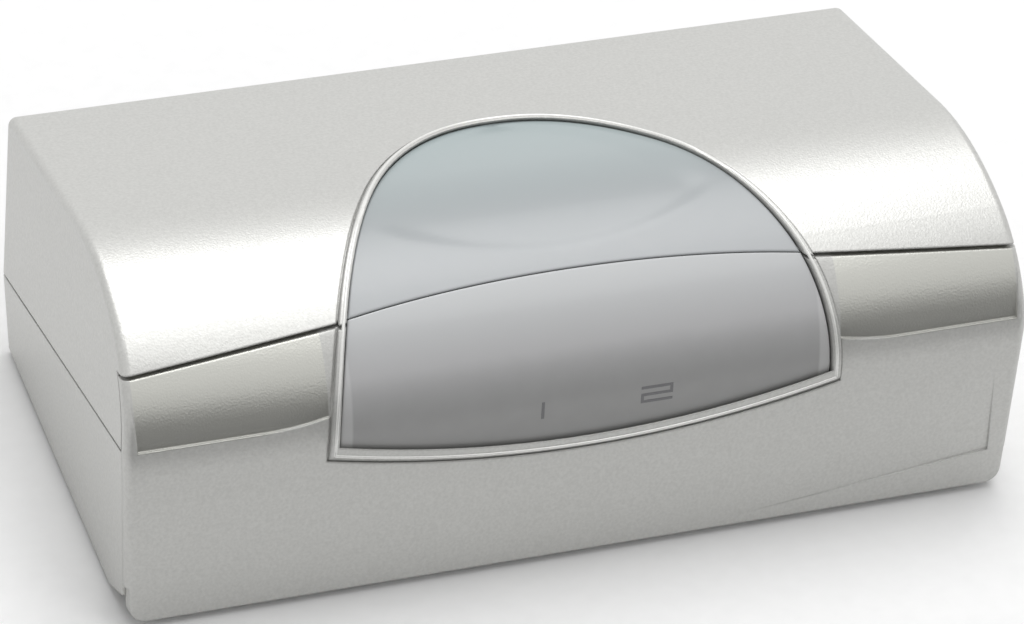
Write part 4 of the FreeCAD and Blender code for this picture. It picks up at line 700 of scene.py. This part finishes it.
@dataclass
class LensPiece:
    """A moulded piece of the lens, laid on the case's roll as one grid with rounded edges."""
    name: str
    node: str
    body: Body
    wall_mm: float
    finish: Finish
    slot: str
    arch: Arch = field(default_factory=Arch)
    edge_mm: float = 0.3
    columns: int = 96
    rows: int = 60

    def lower(self, x: float) -> float:
        """Slanting height of the lower edge."""
        raise NotImplementedError

    def heights(self) -> list[float]:
        """Slanting heights of the rows, before they bend to the lower and upper edges."""
        raise NotImplementedError

    def bend(self, x: float, height: float, share: float) -> float:
        """Moves a row's point onto the bent lower or upper edge."""
        raise NotImplementedError

    def dent(self, x: float, height: float) -> float:
        """Extra depth of the surface there, zero where it follows the case."""
        return 0.0

    def rounding(self, distance: float) -> float:
        """The rounded edge.

        Args:
            distance: How far inside the outline.

        Returns:
            How deep the surface lies there.
        """
        if distance >= self.edge_mm:
            return 0.0
        return self.edge_mm - math.sqrt(self.edge_mm ** 2 - (self.edge_mm - max(distance, 0.0)) ** 2)

    def make_grid(self) -> bpy.types.Object:
        """Adds a grid, then moves its points onto the roll.

        Returns:
            The thin lens, without its wall.
        """
        bpy.ops.object.select_all(action="DESELECT")
        bpy.ops.mesh.primitive_grid_add(x_subdivisions=self.columns, y_subdivisions=self.rows, size=2)
        piece = bpy.context.active_object
        piece.name = self.name
        heights = self.heights()
        low_row = heights[0]
        for vertex in piece.data.vertices:
            column = round((vertex.co.x + 1) / 2 * self.columns)
            row = round((vertex.co.y + 1) / 2 * self.rows)
            across = math.sin(math.pi * (column / self.columns - 0.5))
            height = heights[row]
            half = self.arch.half_at(height)
            x = across * half
            height = self.bend(x, height, (height - low_row) / (heights[-1] - low_row))
            side = (1 - abs(across)) * half
            edge = min(side, height - self.lower(x), self.upper_gap(x, height))
            y, z = PROFILE.meet(height, self.dent(x, height) + self.rounding(edge))
            vertex.co = CASE.place(x, y, z)
        return piece

    def trim(self, piece: bpy.types.Object) -> None:
        """Takes off what would be in the way of the neighbouring piece, which for a plain piece is nothing.
        """

    def upper_gap(self, x: float, height: float) -> float:
        """Distance to the upper edge."""
        return max(self.arch.top - height, self.arch.half_at(height) - abs(x))

    def build(self) -> bpy.types.Object:
        """Makes the piece, gives it its wall and its finish and puts it in place of its node.

        Returns:
            The finished piece.
        """
        piece = self.make_grid()
        face_outward(weld=True)
        outward = CASE.direction(0, -1, 1)
        if sum(face.normal.dot(outward) for face in piece.data.polygons) < 0:
            piece.data.flip_normals()
        wall = piece.modifiers.new("wall", "SOLIDIFY")
        wall.thickness = self.wall_mm * MM
        wall.offset = -1
        bpy.ops.object.modifier_apply(modifier=wall.name)
        self.trim(piece)
        bpy.ops.object.shade_smooth_by_angle(angle=math.radians(SMOOTH_DEG))
        piece.data.materials.append(self.finish.build())
        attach(piece, self.body.value)
        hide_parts(self.node)
        LOG.info("%s: %d faces", self.name, len(piece.data.polygons))
        return piece


@dataclass
class SelectCap(LensPiece):
    """The milky push cap with its shallow thumb dish.

    Attributes:
        dish_foot: Slanting height of the dish's lower edge, in the middle (mm).
        dish_side_x: A point of that edge further out, from the middle (mm).
        dish_side: Slanting height of that point (mm).
        dish_depth: Depth of the dish (mm).
        dish_edge: Width of the slope at its lower edge (mm).
        dish_margin: Flat strip left beside the arch (mm).
        dish_fade: Width over which the dish fades out there (mm).
    """
    dish_foot: float = 17.4
    dish_side_x: float = 26.4
    dish_side: float = 25.5
    dish_depth: float = 0.3
    dish_edge: float = 2.2
    dish_margin: float = 1.5
    dish_fade: float = 6.0

    def heights(self) -> list[float]:
        """Rows that close up towards both ends.

        Returns:
            Their slanting heights, from the split to the crown.
        """
        low = self.split_level()
        span = self.arch.top - low
        return [low + span * (1 - math.cos(math.pi * k / self.rows)) / 2 for k in range(self.rows + 1)]

    def split_level(self) -> float:
        """Slanting height where the split meets the arch's side."""
        x = self.arch.half_at(self.arch.split(self.arch.corner_x, self.arch.split_half_gap))
        return self.arch.split(x, self.arch.split_half_gap)

    def lower(self, x: float) -> float:
        """The cap ends at the split."""
        return self.arch.split(x, self.arch.split_half_gap)

    def bend(self, x: float, height: float, share: float) -> float:
        """The lowest row follows the split."""
        return height + (1 - share) ** 2 * (self.lower(x) - self.split_level())

    def dent(self, x: float, height: float) -> float:
        """The dish: an arc below, fading out towards the arch above.

        Args:
            x: Distance from the middle.
            height: Slanting height.

        Returns:
            How deep the dish is there.
        """
        rise = self.dish_side - self.dish_foot
        radius = (self.dish_side_x ** 2 + rise ** 2) / (2 * rise)
        foot = self.dish_foot + radius - math.sqrt(max(radius ** 2 - x * x, 0.0))
        into = smoothstep((height - foot) / self.dish_edge)
        side = smoothstep((self.arch.half_at(height) - abs(x) - self.dish_margin) / self.dish_fade)
        return self.dish_depth * into * side


@dataclass
class StatusWindow(LensPiece):
    """The fixed grey window that shows which port is on."""

    def heights(self) -> list[float]:
        """Rows from the sill's ends to the split's ends.

        Returns:
            Their slanting heights.
        """
        low = self.arch.foot
        span = self.upper(self.arch.corner_x) - low
        return [low + span * (1 - math.cos(math.pi * k / self.rows)) / 2 for k in range(self.rows + 1)]

    def trim(self, piece: bpy.types.Object) -> None:
        """Makes the wall along the split upright in the case's frame, so that the cap slides down past it.

        Args:
            piece: The window with its wall.
        """
        back = CASE.direction(0, 1, 0) * MM
        for vertex in piece.data.vertices:
            limit = self.arch.split_depth(vertex.co.x / MM) - self.arch.split_half_gap
            vertex.co -= back * max(CASE.depth_of(vertex.co) - limit, 0.0)

    def upper(self, x: float) -> float:
        """The window ends at the split."""
        return self.arch.split(x, -self.arch.split_half_gap)

    def upper_gap(self, x: float, height: float) -> float:
        """Distance to the split."""
        return self.upper(x) - height

    def lower(self, x: float) -> float:
        """The window's foot is the arch's sill."""
        return self.arch.sill(x)

    def bend(self, x: float, height: float, share: float) -> float:
        """The lowest row follows the sill and the highest one the split."""
        return (height + (1 - share) * (self.lower(x) - self.arch.foot)
                + share * (self.upper(x) - self.upper(self.arch.corner_x)))


@dataclass(frozen=True)
class RimBead:
    """The fine bead that runs round the window on the crown of its frame, painted bright as a painted
    highlight.

    Attributes:
        ceiling: Top of the case, in metres, which the bead doesn't pass.
        name: The piece's name.
        arch: The window's outline.
        reach_mm: How far outside the window the bead runs.
        rise_mm: How far its middle stands above the case's surface.
        radius_mm: Its own radius.
        steps: Rings along it.
        sides: Points in a ring.
        arch_share: Share of the way round that goes over the arch, the rest being the sill.
        nudge: Share of the way to each side from which its direction is taken.
    """
    ceiling: float
    name: str = "window_rim_bead"
    arch: Arch = field(default_factory=Arch)
    reach_mm: float = 0.8
    rise_mm: float = 0.52
    radius_mm: float = 0.25
    steps: int = 360
    sides: int = 10
    arch_share: float = 0.75
    nudge: float = 0.0005

    def outline(self, share: float) -> tuple[float, float]:
        """The bead's path.

        Args:
            share: Share of the way round, from the left foot over the top.

        Returns:
            Distance from the middle and slanting height.
        """
        half = self.arch.half_width + self.reach_mm
        low, high = self.arch.foot - self.reach_mm, self.arch.top + self.reach_mm
        if share > self.arch_share:
            x = half * math.cos(math.pi * (share - self.arch_share) / (1 - self.arch_share))
            return x, self.arch.sill(x * self.arch.half_width / half) - self.reach_mm
        turn = math.pi * (share / self.arch_share)
        height = low + (high - low) * math.sin(turn)
        flank = (1 - ((height - low) / (high - low)) ** self.arch.shoulder) ** self.arch.crown
        return (-half if turn < math.pi / 2 else half) * flank, height

    def place(self, share: float, rise: float) -> Vector:
        """The point at a share of the way round, raised from the case's surface (mm)."""
        x, height = self.outline(share % 1.0)
        return CASE.place(x, *PROFILE.meet(height, -rise))

    def build(self) -> bpy.types.Object:
        """Adds a torus and leads its rings round the window.

        Returns:
            The finished bead.
        """
        bpy.ops.object.select_all(action="DESELECT")
        bpy.ops.mesh.primitive_torus_add(major_segments=self.steps, minor_segments=self.sides,
                                         major_radius=1.0, minor_radius=0.25)
        bead = bpy.context.active_object
        bead.name = self.name
        for vertex in bead.data.vertices:
            x, y, z = vertex.co
            share = (math.atan2(y, x) / math.tau) % 1.0
            side = math.atan2(z, math.hypot(x, y) - 1.0)
            middle = self.place(share, self.rise_mm)
            after = self.place(share + self.nudge, self.rise_mm)
            before = self.place(share - self.nudge, self.rise_mm)
            out = (self.place(share, self.rise_mm + 1) - middle).normalized()
            across = (after - before).normalized().cross(out).normalized()
            vertex.co = middle + (across * math.cos(side) + out * math.sin(side)) * self.radius_mm * MM
            vertex.co.z = min(vertex.co.z, self.ceiling)
        face_outward()
        bpy.ops.object.shade_smooth_by_angle(angle=math.radians(SMOOTH_DEG))
        # Its brighter paint is a painted highlight.
        bead.data.materials.append(BEAD_HIGHLIGHT_SILVER.build())
        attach(bead, Body.CASE.value)
        LOG.info("%s: %d faces", self.name, len(bead.data.polygons))
        return bead


# Studio


@dataclass(frozen=True)
class Studio:
    """Camera, floor, lamps and world.

    The camera's angles and place are those in the case's own frame, fitted to the photograph.

    Attributes:
        azimuth_deg: The camera's turn to the right.
        elevation_deg: How far it looks down.
        eye: Its place in the case's frame (mm).
        focal_px: Its focal length, in pixels of the photograph.
        picture_px: Width of the photograph.
        sensor_mm: Width of the camera's sensor.
        floor_m: Side of the floor.
        aim: The point that the lamps face, in metres.
    """
    azimuth_deg: float = 19.87
    elevation_deg: float = 24.53
    eye: tuple[float, float, float] = (-220.42, -579.87, 293.66)
    focal_px: float = 5080.0
    picture_px: float = 1024.0
    sensor_mm: float = 36.0
    floor_m: float = 6.0
    aim: tuple[float, float, float] = (0, 0, 0.02)

    def add_camera(self) -> None:
        """Puts the camera where the photograph was taken from."""
        azimuth, elevation = math.radians(self.azimuth_deg), math.radians(self.elevation_deg)
        ahead = CASE.direction(math.sin(azimuth) * math.cos(elevation),
                               math.cos(azimuth) * math.cos(elevation), -math.sin(elevation))
        right = CASE.direction(math.cos(azimuth), -math.sin(azimuth), 0.0)
        up = right.cross(ahead)
        turn = Matrix((right, up, -ahead)).transposed().to_4x4()
        data = bpy.data.cameras.new("camera")
        data.sensor_width = self.sensor_mm
        data.lens = self.focal_px / self.picture_px * self.sensor_mm
        data.clip_end = 20
        camera = bpy.data.objects.new("camera", data)
        camera.matrix_world = Matrix.Translation(CASE.place(*self.eye)) @ turn
        bpy.context.scene.collection.objects.link(camera)
        bpy.context.scene.camera = camera

    def add_floor(self) -> None:
        """A plain white sheet that keeps the shadow."""
        bpy.ops.object.select_all(action="DESELECT")
        bpy.ops.mesh.primitive_plane_add(size=self.floor_m, location=(0, 0, 0))
        floor = bpy.context.active_object
        floor.name = "studio_floor"
        paper = Finish("matt white paper", "FBFBFB", "F8F8F8", 0.9, grain_mm=3.0, bump=0.0)
        floor.data.materials.append(paper.build())
        floor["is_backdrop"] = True

    def add_lamp(self, name: str, place: tuple[float, float, float], size: tuple[float, float],
                 watts: float) -> None:
        """Adds one soft box.

        Args:
            name: The lamp's name.
            place: Where it hangs, in metres.
            size: Width and height of the box, in metres.
            watts: Its power.
        """
        data = bpy.data.lights.new(name, "AREA")
        data.shape = "RECTANGLE"
        data.size, data.size_y = size
        data.energy = watts
        lamp = bpy.data.objects.new(name, data)
        turn = (Vector(self.aim) - Vector(place)).to_track_quat("-Z", "Y")
        lamp.matrix_world = Matrix.Translation(Vector(place)) @ turn.to_matrix().to_4x4()
        bpy.context.scene.collection.objects.link(lamp)

    def add_flag(self, name: str, low: tuple[float, float, float], high: tuple[float, float, float],
                 turn_deg: float) -> None:
        """Adds a dark card that only reflections see, as photographers hang beside shiny things.

        Args:
            name: The card's name.
            low: One corner, in metres.
            high: The far corner.
            turn_deg: Turn about X, 0 for a lying card and 90 for a standing one.
        """
        middle = (Vector(low) + Vector(high)) / 2
        span = Vector(high) - Vector(low)
        bpy.ops.object.select_all(action="DESELECT")
        bpy.ops.mesh.primitive_plane_add(size=1, location=middle, rotation=(math.radians(turn_deg), 0, 0))
        flag = bpy.context.active_object
        flag.name = name
        flag.scale = (span.x, max(span.y, span.z), 1)
        card = Finish("black flock card", "2A2A2A", "242424", 0.95, grain_mm=3.0, bump=0.0)
        flag.data.materials.append(card.build())
        for ray in ("camera", "diffuse", "shadow", "transmission", "volume_scatter"):
            setattr(flag, "visible_" + ray, False)
        flag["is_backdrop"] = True

    def add_world(self, strength: float) -> None:
        """A pale world that looks white to the camera, in reflections and through glass.

        Args:
            strength: Its light on the object.
        """
        world = bpy.data.worlds.new("studio")
        bpy.context.scene.world = world
        world.use_nodes = True
        tree = world.node_tree
        tree.nodes.clear()
        path = add_node(tree, "ShaderNodeLightPath")
        seen = path.outputs["Is Camera Ray"]
        for kind in ("Is Glossy Ray", "Is Transmission Ray"):
            seen = maths(tree, "MAXIMUM", {0: seen, 1: path.outputs[kind]})
        light = add_node(tree, "ShaderNodeBackground", {"Color": WHITE, "Strength": strength})
        white = add_node(tree, "ShaderNodeBackground", {"Color": WHITE, "Strength": 1.0})
        mix = add_node(tree, "ShaderNodeMixShader", {}, {0: seen, 1: light.outputs["Background"],
                                                         2: white.outputs["Background"]})
        add_node(tree, "ShaderNodeOutputWorld", {}, {"Surface": mix.outputs["Shader"]})

    def build(self) -> None:
        """Sets up everything that isn't part of the object."""
        bpy.context.scene.view_settings.view_transform = "Standard"
        self.add_camera()
        self.add_floor()
        self.add_lamp("key_above_front", (0.2, 0.05, 1.1), (1.3, 0.4), 3.2)
        self.add_lamp("top", (0.1, 0.5, 1.3), (1.2, 0.8), 8.0)
        self.add_flag("floor_flag", (-0.5, -0.6, 0.001), (0.5, -0.1, 0.001), 0)
        self.add_flag("standing_flag", (-0.5, -0.6, 0.0), (0.5, -0.6, 0.2), 90)
        self.add_world(0.51)


@dataclass(frozen=True)
class CadDress:
    """Gives every carried-over CAD node its finish."""
    finishes: dict = field(default_factory=lambda: CAD_FINISHES)

    def build(self) -> None:
        """Fills each node's material slots."""
        for finish, nodes in self.finishes.items():
            material = finish.build()
            for name in nodes:
                mesh = frame["nodes"][name].data
                if not mesh.materials:
                    mesh.materials.append(material)
                for index in range(len(mesh.materials)):
                    mesh.materials[index] = material
                LOG.info("%s: %s", name, finish.name)


def main() -> None:
    """Builds the studio, the lens pieces and the finishes, in order."""
    logging.basicConfig(level=logging.INFO, format="%(message)s")
    cad_box = [list(corner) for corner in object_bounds()]
    Studio().build()
    CadDress().build()
    # Milky acrylic over a white carrier: pale, faintly blue and glossy, painted lighter at its foot by the
    # split as painted light.
    milky = WindowPlastic("milky blue acrylic", "AAB5B6", "A2A7A9", 0.32, grain_mm=3.0, bump=0.02, coat=0.1,
                          low_mm=12.5, high_mm=43.5, foot_tint_and_shading="B4B7B9", middle_share=0.35)
    # Smoked acrylic over a dark lamp box: lilac grey above and darker towards the foot, partly where the box
    # shows through and partly as painted shade; a paler strip at each side is a painted reflection.
    smoky = WindowPlastic("smoked lilac acrylic", "C2C4C5", "B8B8B9", 0.32, grain_mm=3.0, bump=0.02, coat=0.1,
                          foot_tint_and_shading="8C8C8B", middle_share=0.5, reflection_x=33.5)
    SelectCap("select_cap_lens", "select_cap", Body.SELECT, 0.9, milky, "cap_plastic").build()
    StatusWindow("status_window_lens", "status_window", Body.CASE, 1.95, smoky, "window_plastic").build()
    RimBead(ceiling=cad_box[1][2]).build()


if __name__ == "__main__":
    main()
